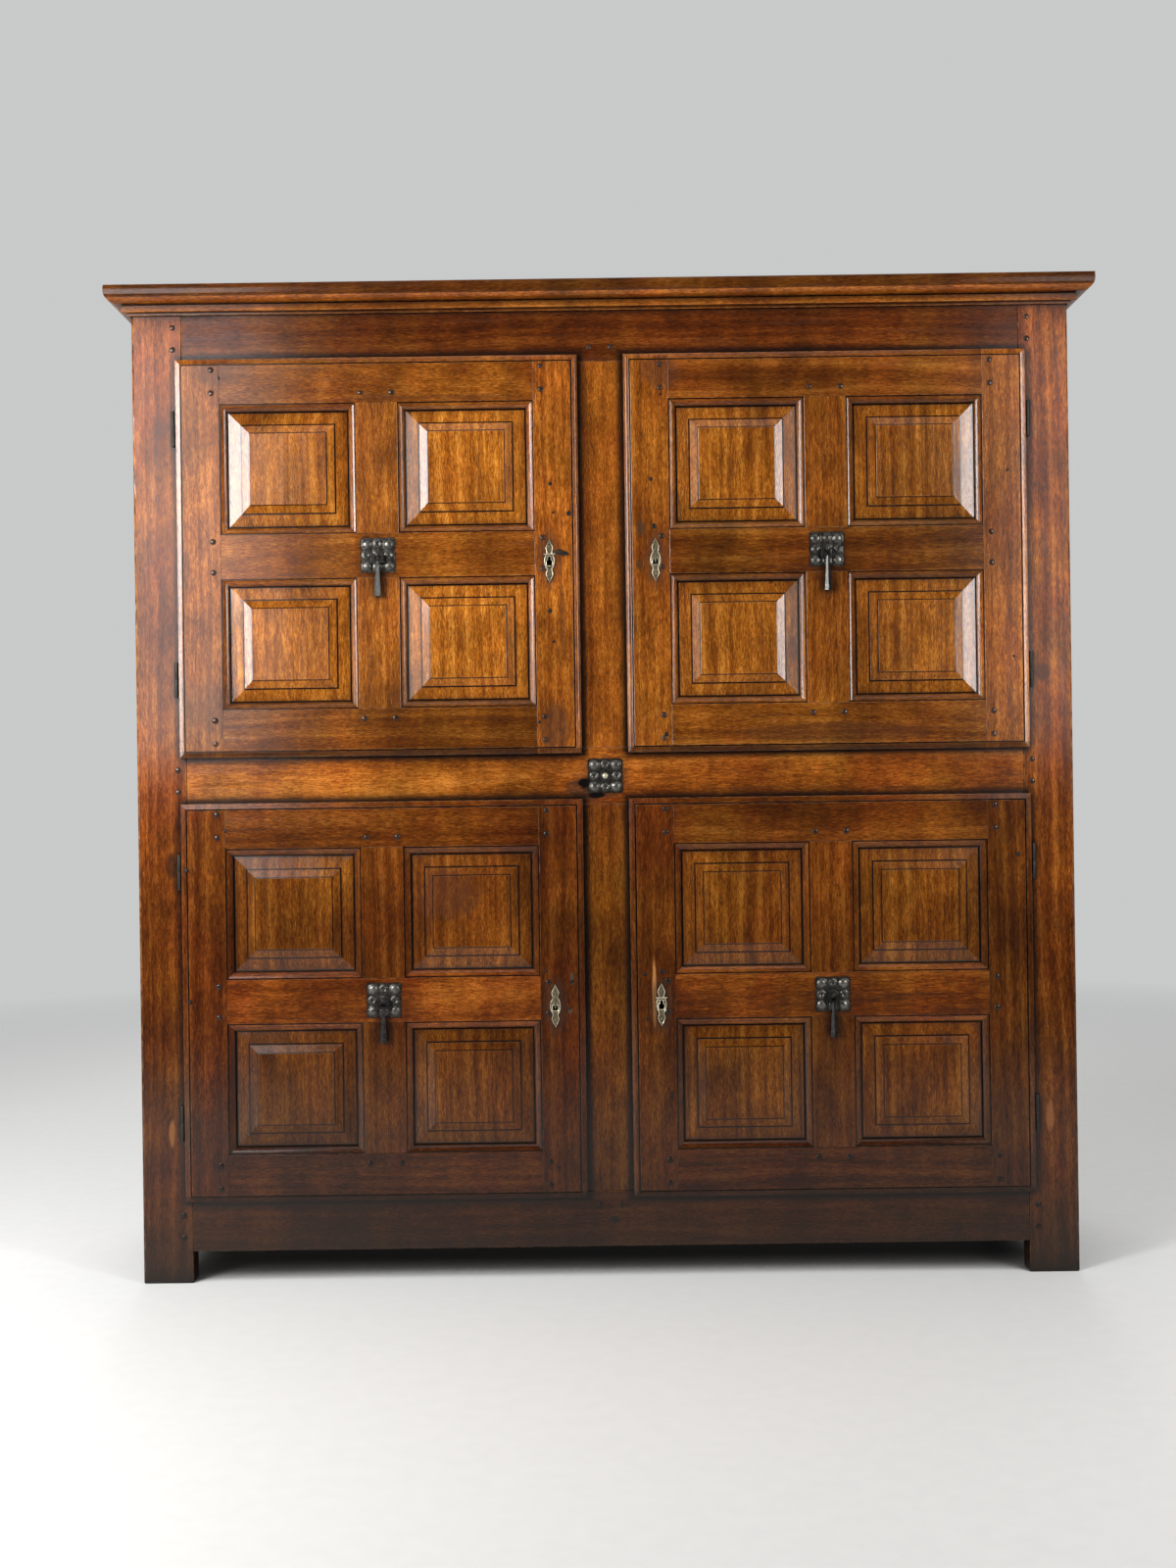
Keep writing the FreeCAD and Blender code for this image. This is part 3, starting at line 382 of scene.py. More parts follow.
blackIron = {
    "low": (0.012, 0.011, 0.009), "mid": (0.042, 0.039, 0.033), "high": (0.095, 0.090, 0.080),
    "rubbed": (0.24, 0.23, 0.205, 1.0), "rubShare": 0.6, "grimeAndShade": (0.006, 0.005, 0.004, 1.0),
    "smoothLow": 0.20, "smoothHigh": 0.38, "metal": 0.85, "dent": 150.0, "scale": 390.0, "cloud": 38.0,
    "bump": 0.55, "bumpDepth": 0.0010, "grimeAndShadeReach": 0.004,
}
hingeIronLook = dict(
    blackIron, low=(0.006, 0.0055, 0.005), mid=(0.018, 0.016, 0.014), high=(0.040, 0.036, 0.031),
    rubShare=0.3, smoothLow=0.40, smoothHigh=0.60,
)
paleIron = dict(
    blackIron, low=(0.050, 0.038, 0.018), mid=(0.125, 0.100, 0.056), high=(0.230, 0.195, 0.125),
    rubbed=(0.62, 0.55, 0.41, 1.0), grimeAndShade=(0.016, 0.011, 0.006, 1.0),
    smoothLow=0.28, smoothHigh=0.5, metal=0.7,
)
rimIronLook = dict(
    paleIron, low=(0.32, 0.26, 0.17), mid=(0.50, 0.43, 0.31), high=(0.66, 0.59, 0.46),
    smoothLow=0.22, smoothHigh=0.40,
)
creamNail = dict(
    paleIron, low=(0.25, 0.22, 0.14), mid=(0.42, 0.39, 0.28), high=(0.60, 0.57, 0.44), metal=0.6,
    smoothLow=0.16, smoothHigh=0.26,
)
dropIron = dict(
    blackIron, low=(0.018, 0.017, 0.016), mid=(0.034, 0.033, 0.031), high=(0.060, 0.058, 0.054),
    rubbed=(0.16, 0.155, 0.145, 1.0), rubShare=0.5, smoothLow=0.25, smoothHigh=0.34, metal=0.95, bump=0.06,
)
lockIron = dict(
    blackIron, low=(0.030, 0.020, 0.014), mid=(0.085, 0.060, 0.042), high=(0.160, 0.130, 0.100),
    smoothLow=0.45, smoothHigh=0.7, rubShare=0.4,
)


def ironFinish(name, look):
    finish, tree = newFinish(name)
    place = addNode(tree, "ShaderNodeTexCoord").outputs["Object"]
    scale = noiseAt(tree, place, (look["scale"],) * 3, 4.0, 0.65)
    dents = noiseAt(tree, place, (look["dent"],) * 3, 2.0)
    cloud = noiseAt(tree, place, (look["cloud"],) * 3, 3.0)
    colour = rampOf(tree, scale, ((0.30, look["low"]), (0.52, look["mid"]), (0.74, look["high"])))
    rubbed = calc(tree, "MAXIMUM", attributeOf(tree, "wear"), attributeOf(tree, "relief"))
    rubMask = calc(tree, "MULTIPLY", rubbed, remap(tree, cloud, 0.35, 0.65, 0.25, look["rubShare"]))
    colour = blendColour(tree, rubMask, colour, look["rubbed"])
    # grime and painted shade in the iron's crevices
    crevice = addNode(tree, "ShaderNodeAmbientOcclusion", {"Distance": look["grimeAndShadeReach"]}, samples=4)
    grimeAndShadeMask = remap(tree, crevice.outputs["AO"], 0.85, 0.40, 0.0, 0.85)
    colour = blendColour(tree, grimeAndShadeMask, colour, look["grimeAndShade"])
    roughness = remap(tree, dents, 0.3, 0.7, look["smoothLow"], look["smoothHigh"])
    rise = calc(tree, "MULTIPLY_ADD", scale, 0.3, dents)
    bumpSockets = {"Height": rise, "Strength": look["bump"], "Distance": look["bumpDepth"]}
    bump = addNode(tree, "ShaderNodeBump", bumpSockets)
    closeFinish(tree, {
        "Base Color": colour, "Roughness": roughness, "Normal": bump.outputs[0], "Metallic": look["metal"],
    })
    return finish


plateIron = ironFinish("plateIron", blackIron)
hingeIron = ironFinish("hingeIron", hingeIronLook)
keyIron = ironFinish("keyIron", paleIron)
rimIron = ironFinish("rimIron", rimIronLook)
nailIron = ironFinish("nailIron", creamNail)
handleIron = ironFinish("handleIron", dropIron)
innerIron = ironFinish("innerIron", lockIron)
print("iron finishes made")


# copies of the solids, with their edges eased

def newPiece(name, mesh, body, finish):
    piece = bpy.data.objects.new(name, mesh)
    bpy.context.collection.objects.link(piece)
    mesh.materials.clear()
    mesh.materials.append(finish)
    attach(piece, body)
    return piece


def bodyOf(nodeName):
    return body_of(cadNodes[nodeName])[0]


def islandsOf(bm):
    bm.verts.index_update()
    seen = set()
    islands = []
    for first in bm.verts:
        if first.index in seen:
            continue
        seen.add(first.index)
        waiting = [first]
        island = []
        while waiting:
            vert = waiting.pop()
            island.append(vert)
            for edge in vert.link_edges:
                other = edge.other_vert(vert)
                if other.index not in seen:
                    seen.add(other.index)
                    waiting.append(other)
        islands.append(island)
    return islands


copying = {  # metres, radians, degrees, and the corners of a face that may be shaded smooth
    "merge": 2e-5, "flat": 0.004, "easedFrom": 25, "mostCorners": 6,
}


def cleanCopy(nodeName):
    bm = bmesh.new()
    bm.from_mesh(cadNodes[nodeName].data)
    bmesh.ops.remove_doubles(bm, verts=bm.verts, dist=copying["merge"])
    bmesh.ops.dissolve_limit(bm, angle_limit=copying["flat"], verts=bm.verts, edges=bm.edges)
    bm.faces.layers.float.new("wear")
    return bm


def easeEdges(bm, ease, shortest):
    wear = bm.faces.layers.float["wear"]
    edges = [
        edge for edge in bm.edges
        if edge.is_manifold and edge.is_convex and edge.calc_length() > shortest
        and edge.calc_face_angle(0.0) > math.radians(copying["easedFrom"])
    ]
    made = bmesh.ops.bevel(
        bm, geom=edges, offset=ease, offset_type="OFFSET", segments=2, profile=0.5,
        affect="EDGES", clamp_overlap=False,
    )
    for face in made["faces"]:
        face[wear] = 1.0


def shadeByAngle(mesh, degrees):
    mesh.set_sharp_from_angle(angle=math.radians(degrees))
    smooth = [len(face.vertices) <= copying["mostCorners"] for face in mesh.polygons]
    mesh.polygons.foreach_set("use_smooth", smooth)


def meshFrom(bm, name, degrees):
    mesh = bpy.data.meshes.new(name)
    bm.to_mesh(mesh)
    bm.free()
    shadeByAngle(mesh, degrees)
    return mesh


boards = {  # tone from red 0 to gold 1, spread between boards, eased edge in metres, shade
    "front_stiles": (0.25, 0.10, 0.0018, 0.85), "back_stiles": (0.30, 0.15, 0.0012, 0.85),
    "bottom_rail": (0.25, 0.05, 0.0010, 0.62), "middle_rail": (0.45, 0.00, 0.0008, 1.05),
    # the top rail's low shade is painted shadow from the cornice
    "top_rail": (0.05, 0.00, 0.0008, 0.42), "muntins": (0.60, 0.08, 0.0008, 0.85),
    "side_rails": (0.45, 0.20, 0.0008, 0.80), "side_panels": (0.50, 0.20, 0.0008, 0.80),
    "cornice": (0.45, 0.10, 0.0010, 0.60), "stiles": (0.60, 0.12, 0.0007, 0.92),
    "rails": (0.60, 0.15, 0.0006, 0.78), "door_muntins": (0.80, 0.10, 0.0006, 0.92),
    "panels": (0.95, 0.05, 0.0006, 1.08), "back_rails": (0.5, 0.3, 0.0010, 1.0),
    "back_boards": (0.5, 0.4, 0.0010, 1.0), "top_boards": (0.5, 0.3, 0.0010, 1.0),
    "shelf_boards": (0.5, 0.3, 0.0010, 1.0), "shelf_battens": (0.5, 0.3, 0.0010, 1.0),
}
foldAngles = {  # sharper folds are creased
    "panels": 3, "stiles": 11.5, "rails": 11.5, "door_muntins": 11.5, "others": 20,
}
# each door's brightness; the upper left door is painted lighter and the upper right darker, as light from the
# left falls on them
doorShades = {"upper_left": 1.05, "upper_right": 0.82, "lower_left": 0.92, "lower_right": 0.90}
boardShades = {  # each board of a piece, by the height of its middle and then from left to right
    "upper_left_rails": (0.75, 0.85, 0.78), "upper_right_rails": (0.92, 0.76, 0.92),
    "lower_left_rails": (0.98, 1.90, 1.05), "lower_right_rails": (0.95, 1.60, 1.0),
    "upper_left_panels": (0.90, 1.13, 0.80, 0.91), "upper_right_panels": (0.86, 0.82, 0.91, 0.90),
    "lower_left_panels": (0.89, 0.90, 1.0, 1.0), "lower_right_panels": (1.0, 1.1, 0.96, 1.0),
    "upper_left_stiles": (0.95, 0.86), "upper_right_stiles": (1.0, 1.15),
    "lower_left_stiles": (0.80, 0.88), "lower_right_stiles": (0.88, 0.80),
    "front_stiles": (0.95, 1.05), "muntins": (0.90, 1.12),
}
doorTones = {"lower_left": -0.35, "lower_right": -0.30}
plainFrame = ("bottom_rail", "middle_rail", "top_rail", "muntins", "back_stiles", "side_rails", "side_panels")
shortestEdge = 0.012
rng = random.Random(41)


chips = {
    "strip": 0.0045, "cuts": 158, "depth": 0.0042, "size": 55.0, "least": 0.05, "longFrom": 0.2,
    "broadSize": 0.22, "broadShare": 0.5, "touching": 1e-5,
}


def chipOuterEdges(bm):  # knocks along the front outer corners of the frame
    wear = bm.faces.layers.float["wear"]
    front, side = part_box("front_stiles")[0].y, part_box("front_stiles")[1].x

    def onFront(vert):
        return abs(vert.co.y - front) < chips["touching"]

    def onSide(vert):
        return abs(abs(vert.co.x) - side) < chips["touching"]

    corners = [edge for edge in bm.edges if all(onFront(vert) and onSide(vert) for vert in edge.verts)]
    made = bmesh.ops.bevel(
        bm, geom=corners, offset=chips["strip"], offset_type="OFFSET", segments=3, profile=0.5,
        affect="EDGES", clamp_overlap=False,
    )
    bm.edges.index_update()
    long = {edge for face in made["faces"] for edge in face.edges if edge.calc_length() > chips["longFrom"]}
    ordered = sorted(long, key=lambda edge: edge.index)
    bmesh.ops.subdivide_edges(bm, edges=ordered, cuts=chips["cuts"], use_grid_fill=True)
    fans = []
    for edge in bm.edges:
        around = [vert for face in edge.link_faces for vert in face.verts]
        if all(onFront(vert) for vert in around) or all(onSide(vert) for vert in around):
            fans.append(edge)
    bmesh.ops.dissolve_limit(bm, angle_limit=copying["flat"], verts=[], edges=fans)
    for vert in bm.verts:
        if onFront(vert) or onSide(vert):
            continue
        if abs(vert.co.x) > side - chips["strip"] and vert.co.y < front + chips["strip"]:
            knock = max(0.0, noise.noise(vert.co * chips["size"]) - chips["least"]) * chips["depth"]
            broad = max(0.0, noise.noise(vert.co * chips["size"] * chips["broadSize"]))
            knock += broad * chips["depth"] * chips["broadShare"]
            vert.co.x -= math.copysign(knock, vert.co.x)
            vert.co.y += knock
            for face in vert.link_faces:
                face[wear] = 1.0


meetingLip = {"width": 0.010, "rise": 0.0015, "front": -0.2505, "from": 0.0003, "to": 0.0098}


def roundMeetingLip(bm):  # the lip beside the centre post is a round bead
    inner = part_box("upper_right_stiles")[0].x
    for vert in bm.verts:
        inset = abs(vert.co.x) - inner
        if meetingLip["from"] < inset < meetingLip["to"] and vert.co.y < meetingLip["front"]:
            vert.co.y -= meetingLip["rise"] * math.sin(math.pi * inset / meetingLip["width"])


# painted light: the cornice's nose is painted darker and the band under it lighter
corniceShade = {"noseFrom": 1.783, "nose": 0.45, "band": 1.70, "overhang": 0.040}


def cornicePaintedLight(middle):
    return corniceShade["nose"] if middle.z > corniceShade["noseFrom"] else corniceShade["band"]


def islandPlace(island):
    middle = sum((vert.co for vert in island), Vector()) / len(island)
    return (round(middle.z, 2), round(middle.x, 2), round(middle.y, 2))


def corniceAxis(middle):  # along y on the returns, along x in front
    pastSide = abs(middle.x) - (cadHigh.x - corniceShade["overhang"])
    pastFront = (cadLow.y + corniceShade["overhang"]) - middle.y
    return 1 if pastSide > pastFront else 0


def markInsets(face, low, high, insetLayer):  # how far each corner lies from the opening's edge
    insets = []
    for loop in face.loops:
        x, z = loop.vert.co.x, loop.vert.co.z
        insets.append(min(x - low[0], high[0] - x, z - low[2], high[2] - z) + panelLines["tongue"])
    onField = max(insets) - min(insets) < panelLines["fieldSpread"]
    for loop, inset in zip(face.loops, insets):
        loop[insetLayer] = panelLines["field"] if onField else inset


def dressWood(nodeName, board, finish, axisRule=None, shape=None, paintedLightRule=None):
    tone, spread, ease, shade = boards[board]
    doorName = bodyOf(nodeName).removesuffix("_door")
    bm = cleanCopy(nodeName)
    if shape:
        shape(bm)
    easeEdges(bm, ease, shortestEdge)
    grain = bm.loops.layers.float_vector.new("grain")
    toneLayer = bm.faces.layers.float.new("tone")
    shadeLayer = bm.faces.layers.float.new("shade")
    insetLayer = bm.loops.layers.float.new("inset")
    for step, island in enumerate(sorted(islandsOf(bm), key=islandPlace)):
        low = [min(vert.co[axis] for vert in island) for axis in range(3)]
        high = [max(vert.co[axis] for vert in island) for axis in range(3)]
        sizes = [high[axis] - low[axis] for axis in range(3)]
        longest = 2 if board == "panels" else sizes.index(max(sizes))
        start = rng.uniform(0.0, 20.0)
        pith = (rng.uniform(-0.12, 0.12), rng.choice((-1, 1)) * rng.uniform(0.05, 0.20))
        boardTone = tone + doorTones.get(doorName, 0.0) + rng.uniform(-spread, spread)
        boardTone = min(1.0, max(0.0, boardTone))
        boardShade = shade * doorShades.get(doorName, 1.0) * rng.uniform(0.93, 1.07)
        if nodeName in boardShades:
            boardShade *= boardShades[nodeName][step]
        faces = {face for vert in island for face in vert.link_faces}
        for face in faces:
            face[toneLayer] = boardTone
            face[shadeLayer] = boardShade * (paintedLightRule(face.calc_center_median()) if paintedLightRule else 1.0)
            along = axisRule(face.calc_center_median()) if axisRule else longest
            others = [axis for axis in range(3) if axis != along]
            if board == "panels" and face.normal.y < -0.5:
                markInsets(face, low, high, insetLayer)
            for loop in face.loops:
                place = loop.vert.co
                middle = [(low[axis] + high[axis]) / 2 for axis in others]
                loop[grain] = (
                    place[along] + start,
                    place[others[1]] - middle[1] + pith[0],
                    place[others[0]] - middle[0] + pith[1],
                )
    mesh = meshFrom(bm, nodeName + ".wood", foldAngles.get(board, foldAngles["others"]))
    piece = newPiece(nodeName + ".wood", mesh, bodyOf(nodeName), finish)
    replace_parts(piece, nodeName)


dressWood("front_stiles", "front_stiles", frameWalnut, shape=chipOuterEdges)
for nodeName in plainFrame:
    dressWood(nodeName, nodeName, frameWalnut)
dressWood("cornice", "cornice", frameWalnut, axisRule=corniceAxis, paintedLightRule=cornicePaintedLight)
for nodeName in ("back_rails", "back_boards", "top_boards", "shelf_boards", "shelf_battens"):
    dressWood(nodeName, nodeName, insideWood)
for door in doorNames:
    dressWood(door + "_stiles", "stiles", doorWalnut, shape=roundMeetingLip)
    for nodeEnd in ("rails", "panels"):
        dressWood(door + "_" + nodeEnd, nodeEnd, doorWalnut)
    dressWood(door + "_muntins", "door_muntins", doorWalnut)
print("boards dressed")


# iron fittings from the solids

fittings = {
    "ease": 0.0004, "shortest": 0.0012, "crease": 35, "dropEase": 0.00012, "dropCrease": 10, "eyeRear": -0.25,
}


def dressIron(nodeName, finish, keepIsland=None, crease=fittings["crease"], ease=fittings["ease"]):
    bm = cleanCopy(nodeName)
    if keepIsland:
        spare = [vert for island in islandsOf(bm) if not keepIsland(island) for vert in island]
        bmesh.ops.delete(bm, geom=spare, context="VERTS")
    easeEdges(bm, ease, fittings["shortest"])
    mesh = meshFrom(bm, nodeName + ".iron", crease)
    return newPiece(nodeName + ".iron", mesh, bodyOf(nodeName), finish)


for nodeName in ("hinge_plates", "hinge_pins"):
    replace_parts(dressIron(nodeName, hingeIron), nodeName)
for door in doorNames:
    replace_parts(dressIron(door + "_hinge_straps", hingeIron), door + "_hinge_straps")
    drop = dressIron(door + "_drop_handle", handleIron, None, fittings["dropCrease"], fittings["dropEase"])
    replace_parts(drop, door + "_drop_handle")
    for nodeEnd in ("lock_case", "lock_bolt"):
        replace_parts(dressIron(door + "_" + nodeEnd, innerIron), door + "_" + nodeEnd)
    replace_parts(dressIron(door + "_escutcheon", keyIron), door + "_escutcheon")
for door in coveredDoors:
    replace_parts(dressIron(door + "_key_cover", keyIron), door + "_key_cover")
print("hinges, drops and locks dressed")


# keyhole plates: raised rims, a bar over the open keyholes and a nail in each leaf

keyPlate = {
    "tip": 0.0385, "shoulder": 0.0240, "waist": 0.0150, "leafHalf": 0.0064, "waistHalf": 0.0040,
    "bodyHalf": 0.0088, "rim": 0.0009, "keyRim": 0.0010, "bar": 0.0014, "barHalf": 0.0105, "barUp": 0.0125,
    "nailUp": (0.0255, -0.0255), "rib": 0.0007, "ribEnds": (0.002, 0.009), "proudUnderCover": 0.00022,
    "thickness": 0.0012, "crease": 60,
}


def tubeInto(bm, points, radius, closed=False, swell=None):
    curve = bpy.data.curves.new("tube", "CURVE")
    curve.dimensions = "3D"
    spline = curve.splines.new("POLY")
    spline.points.add(len(points) - 1)
    for knot, place in zip(spline.points, points):
        knot.co = (*place, 1.0)
    for knot, share in zip(spline.points, swell or ()):
        knot.radius = share
    spline.use_cyclic_u = closed
    curve.bevel_depth = radius
    curve.bevel_resolution = 2
    curve.use_fill_caps = True
    holder = bpy.data.objects.new("tube", curve)
    bpy.context.collection.objects.link(holder)
    graph = bpy.context.evaluated_depsgraph_get()
    tube = bpy.data.meshes.new_from_object(holder.evaluated_get(graph))
    bm.from_mesh(tube)
    bpy.data.objects.remove(holder)
    bpy.data.curves.remove(curve)
    bpy.data.meshes.remove(tube)


def keyPlateOutline():
    right = [(0.0, keyPlate["tip"]), (keyPlate["leafHalf"], keyPlate["shoulder"])]
    for step in range(9):
        up = keyPlate["waist"] * (1 - step / 4)
        share = 1 - (up / keyPlate["waist"]) ** 2
        right.append((keyPlate["waistHalf"] + (keyPlate["bodyHalf"] - keyPlate["waistHalf"]) * share, up))
    right += [(keyPlate["leafHalf"], -keyPlate["shoulder"]), (0.0, -keyPlate["tip"])]
    return right + [(-x, z) for x, z in reversed(right[1:-1])]


keyholeOutline = ((-0.0058, -0.0088), (0.0058, -0.0088), (0.0058, 0.0018), (0.0033, 0.0018), (0.0033, 0.0088),
                  (-0.0033, 0.0088), (-0.0033, 0.0018), (-0.0058, 0.0018))


def trimPiece(name, bm, body, finish):
    return newPiece(name, meshFrom(bm, name, keyPlate["crease"]), body, finish)


def keyMiddle(door):  # the middle of the keyhole plate's front
    low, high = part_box(door + "_escutcheon")
    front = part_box(door + "_stiles")[0].y - keyPlate["thickness"]
    return Vector(((low.x + high.x) / 2, front, (low.z + high.z) / 2))


for door in doorNames:
    middle = keyMiddle(door)

    def onPlate(points, out=0.0):
        return [middle + Vector((x, -out, z)) for x, z in points]

    bm = bmesh.new()
    for outline, radius in ((keyPlateOutline(), keyPlate["rim"]), (keyholeOutline, keyPlate["keyRim"])):
        sunk = radius - keyPlate["proudUnderCover"] if door in coveredDoors else 0.0
        tubeInto(bm, onPlate(outline, -sunk), radius, True)
    if door not in coveredDoors:
        barEnds = [(side * keyPlate["barHalf"], keyPlate["barUp"]) for side in (-1, 1)]
        tubeInto(bm, onPlate(barEnds), keyPlate["bar"])
    trimPiece(door + "_escutcheon.rims", bm, door + "_door", rimIron)
for door in coveredDoors:
    low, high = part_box(door + "_key_cover")
    bm = bmesh.new()
    x = (low.x + high.x) / 2
    ribLow, ribHigh = low.z + keyPlate["ribEnds"][0], high.z - keyPlate["ribEnds"][1]
    tubeInto(bm, [(x, low.y, ribLow), (x, low.y, ribHigh)], keyPlate["rib"])
    trimPiece(door + "_key_cover.rib", bm, bodyOf(door + "_key_cover"), keyIron)
lug = {"points": ((-0.0870, 1.3165), (-0.0790, 1.3180), (-0.0700, 1.3150), (-0.0580, 1.3125)),
       "swell": (0.45, 0.85, 1.0, 0.25), "radius": 0.0048, "sunk": 0.0012}
bm = bmesh.new()  # stub of an older lock cover
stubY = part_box("upper_left_stiles")[0].y + lug["sunk"]
tubeInto(bm, [(x, stubY, z) for x, z in lug["points"]], lug["radius"], swell=lug["swell"])
trimPiece("upper_left_lock_stub", bm, "upper_left_door", plateIron)
print("keyhole plates trimmed")


# embossed plates

plate = {
    "half": 0.031, "corner": 0.0420, "thickness": 0.0012, "notchDepth": 0.06, "notchWidth": 0.075,
    "domeAt": 0.0195, "domeRadius": 0.0085, "domeRise": 0.0034,
    "ringAt": 0.0205, "ringRadius": 0.0052, "ringWidth": 0.0016, "ringRise": 0.0015,
    "middleRadius": 0.0085, "middleRise": 0.0009, "turns": 112, "rounds": 26,
    "notchTurn": 17, "domePower": 0.55, "crease": 50, "nailOut": 0.0015,
}


def plateRise(right, up):
    rise = 0.0
    for side in (-1, 1):
        for level in (-1, 1):
            away = math.hypot(right - side * plate["domeAt"], up - level * plate["domeAt"])
            away /= plate["domeRadius"]
            if away < 1.0:
                rise = max(rise, plate["domeRise"] * (1.0 - away ** 2) ** plate["domePower"])
        for ringRight, ringUp in ((side * plate["ringAt"], 0.0), (0.0, side * plate["ringAt"])):
            away = math.hypot(right - ringRight, up - ringUp)
            ring = plate["ringRise"] * math.exp(-((away - plate["ringRadius"]) / plate["ringWidth"]) ** 2)
            rise = max(rise, ring)
    away = math.hypot(right, up) / plate["middleRadius"]
    return max(rise, plate["middleRise"] * math.exp(-away ** 4))


def plateReach(turn):
    reach = plate["half"] / max(abs(math.cos(turn)), abs(math.sin(turn)))
    reach = min(reach, plate["corner"])
    for quarter in range(4):
        for side in (-1, 1):
            notch = quarter * math.pi / 2 + side * math.radians(plate["notchTurn"])
            off = (turn - notch + math.pi) % (2 * math.pi) - math.pi
            reach *= 1.0 - plate["notchDepth"] * math.exp(-(off / plate["notchWidth"]) ** 2)
    return reach


def embossedPlate(name, right, backY, up, body):
    bm = bmesh.new()
    reliefLayer = bm.verts.layers.float.new("relief")

    def pointAt(x, z):
        rise = plateRise(x, z)
        vert = bm.verts.new((right + x, backY - plate["thickness"] - rise, up + z))
        vert[reliefLayer] = min(1.0, rise / plate["domeRise"])
        return vert

    middle = pointAt(0.0, 0.0)
    rings = []
    for ring in range(1, plate["rounds"] + 1):
        share = ring / plate["rounds"]
        rings.append([])
        for step in range(plate["turns"]):
            turn = 2 * math.pi * step / plate["turns"]
            reach = plateReach(turn) * share
            rings[-1].append(pointAt(reach * math.cos(turn), reach * math.sin(turn)))
    rim = [bm.verts.new((vert.co.x, backY, vert.co.z)) for vert in rings[-1]]
    rings.append(rim)
    for step in range(plate["turns"]):
        after = (step + 1) % plate["turns"]
        bm.faces.new((middle, rings[0][step], rings[0][after]))
        for inner, outer in zip(rings, rings[1:]):
            bm.faces.new((inner[step], outer[step], outer[after], inner[after]))
    bm.faces.new(reversed(rim))
    bmesh.ops.recalc_face_normals(bm, faces=bm.faces)
    return newPiece(name, meshFrom(bm, name, plate["crease"]), body, plateIron)


def isEye(island):
    return max(vert.co.y for vert in island) > fittings["eyeRear"]  # the shank goes through the door


for door in doorNames:
    low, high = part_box(door + "_handle_plate")
    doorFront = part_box(door + "_stiles")[0].y
    middleX, middleZ = (low.x + high.x) / 2, (low.z + high.z) / 2
    embossed = embossedPlate(door + "_plate.embossed", middleX, doorFront, middleZ, door + "_door")
    dressIron(door + "_handle_plate", plateIron, isEye)
    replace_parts(embossed, door + "_handle_plate")
low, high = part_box("centre_plate")
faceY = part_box("front_stiles")[0].y
crossing = Vector(((low.x + high.x) / 2, faceY, (low.z + high.z) / 2))
centrePiece = embossedPlate("centre_plate.embossed", crossing.x, faceY, crossing.z, "carcase")
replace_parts(centrePiece, "centre_plate")
print("plates embossed")


# pegs and nails

def studTree():
    tree = bpy.data.node_groups.new("studs", "GeometryNodeTree")
    inputs = (
        ("Geometry", "NodeSocketGeometry"), ("Radius", "NodeSocketFloat"), ("Flatness", "NodeSocketFloat"),
        ("Sides", "NodeSocketInt"), ("Spread", "NodeSocketFloat"), ("Seed", "NodeSocketInt"),
        ("Finish", "NodeSocketMaterial"),
    )
    for name, kind in inputs:
        tree.interface.new_socket(name=name, in_out="INPUT", socket_type=kind)
    tree.interface.new_socket(name="Geometry", in_out="OUTPUT", socket_type="NodeSocketGeometry")
    given = addNode(tree, "NodeGroupInput").outputs
    ball = addNode(tree, "GeometryNodeMeshUVSphere", {
        "Segments": given["Sides"], "Rings": 8, "Radius": given["Radius"],
    })
    squash = addNode(tree, "ShaderNodeCombineXYZ", {0: 1.0, 1: 1.0, 2: given["Flatness"]})
    head = addNode(tree, "GeometryNodeTransform", {
        "Geometry": ball.outputs[0], "Rotation": (math.pi / 2, 0.0, 0.0), "Scale": squash.outputs[0],
    })
    least = calc(tree, "SUBTRACT", 1.0, given["Spread"])
    most = calc(tree, "ADD", 1.0, given["Spread"])
    size = addNode(tree, "FunctionNodeRandomValue", {
        2: least, 3: most, "Seed": given["Seed"],
    }, data_type="FLOAT")
    turn = addNode(tree, "FunctionNodeRandomValue", {
        2: 0.0, 3: math.tau, "Seed": given["Seed"],
    }, data_type="FLOAT")
    twist = addNode(tree, "ShaderNodeCombineXYZ", {1: turn.outputs[1]})
    spots = addNode(tree, "GeometryNodeInstanceOnPoints", {
        "Points": given["Geometry"], "Instance": head.outputs[0], "Rotation": twist.outputs[0],
        "Scale": size.outputs[1],
    })
    real = addNode(tree, "GeometryNodeRealizeInstances", {0: spots.outputs[0]})
    smooth = addNode(tree, "GeometryNodeSetShadeSmooth", {0: real.outputs[0]})
    painted = addNode(tree, "GeometryNodeSetMaterial", {0: smooth.outputs[0], "Material": given["Finish"]})
    addNode(tree, "NodeGroupOutput", {0: painted.outputs[0]})
    return tree


studs = studTree()


def markStuds(mesh):  # what woodFinish reads on boards
    places = [0.0] * len(mesh.vertices) * 3
    mesh.vertices.foreach_get("co", places)
    mesh.attributes.new("grain", "FLOAT_VECTOR", "POINT").data.foreach_set("vector", places)
    mesh.attributes.new("shade", "FLOAT", "POINT").data.foreach_set("value", [1.0] * len(mesh.vertices))


def studPiece(name, places, body, look):
    mesh = bpy.data.meshes.new(name)
    mesh.from_pydata(places, [], [])
    piece = bpy.data.objects.new(name, mesh)
    bpy.context.collection.objects.link(piece)
    modifier = piece.modifiers.new("studs", "NODES")
    modifier.node_group = studs
    for item in studs.interface.items_tree:
        if item.in_out == "INPUT" and item.name in look:
            modifier[item.identifier] = look[item.name]
    graph = bpy.context.evaluated_depsgraph_get()
    solid = bpy.data.meshes.new_from_object(piece.evaluated_get(graph))
    piece.modifiers.clear()
    markStuds(solid)
    piece.data = solid
    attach(piece, body)
    return piece


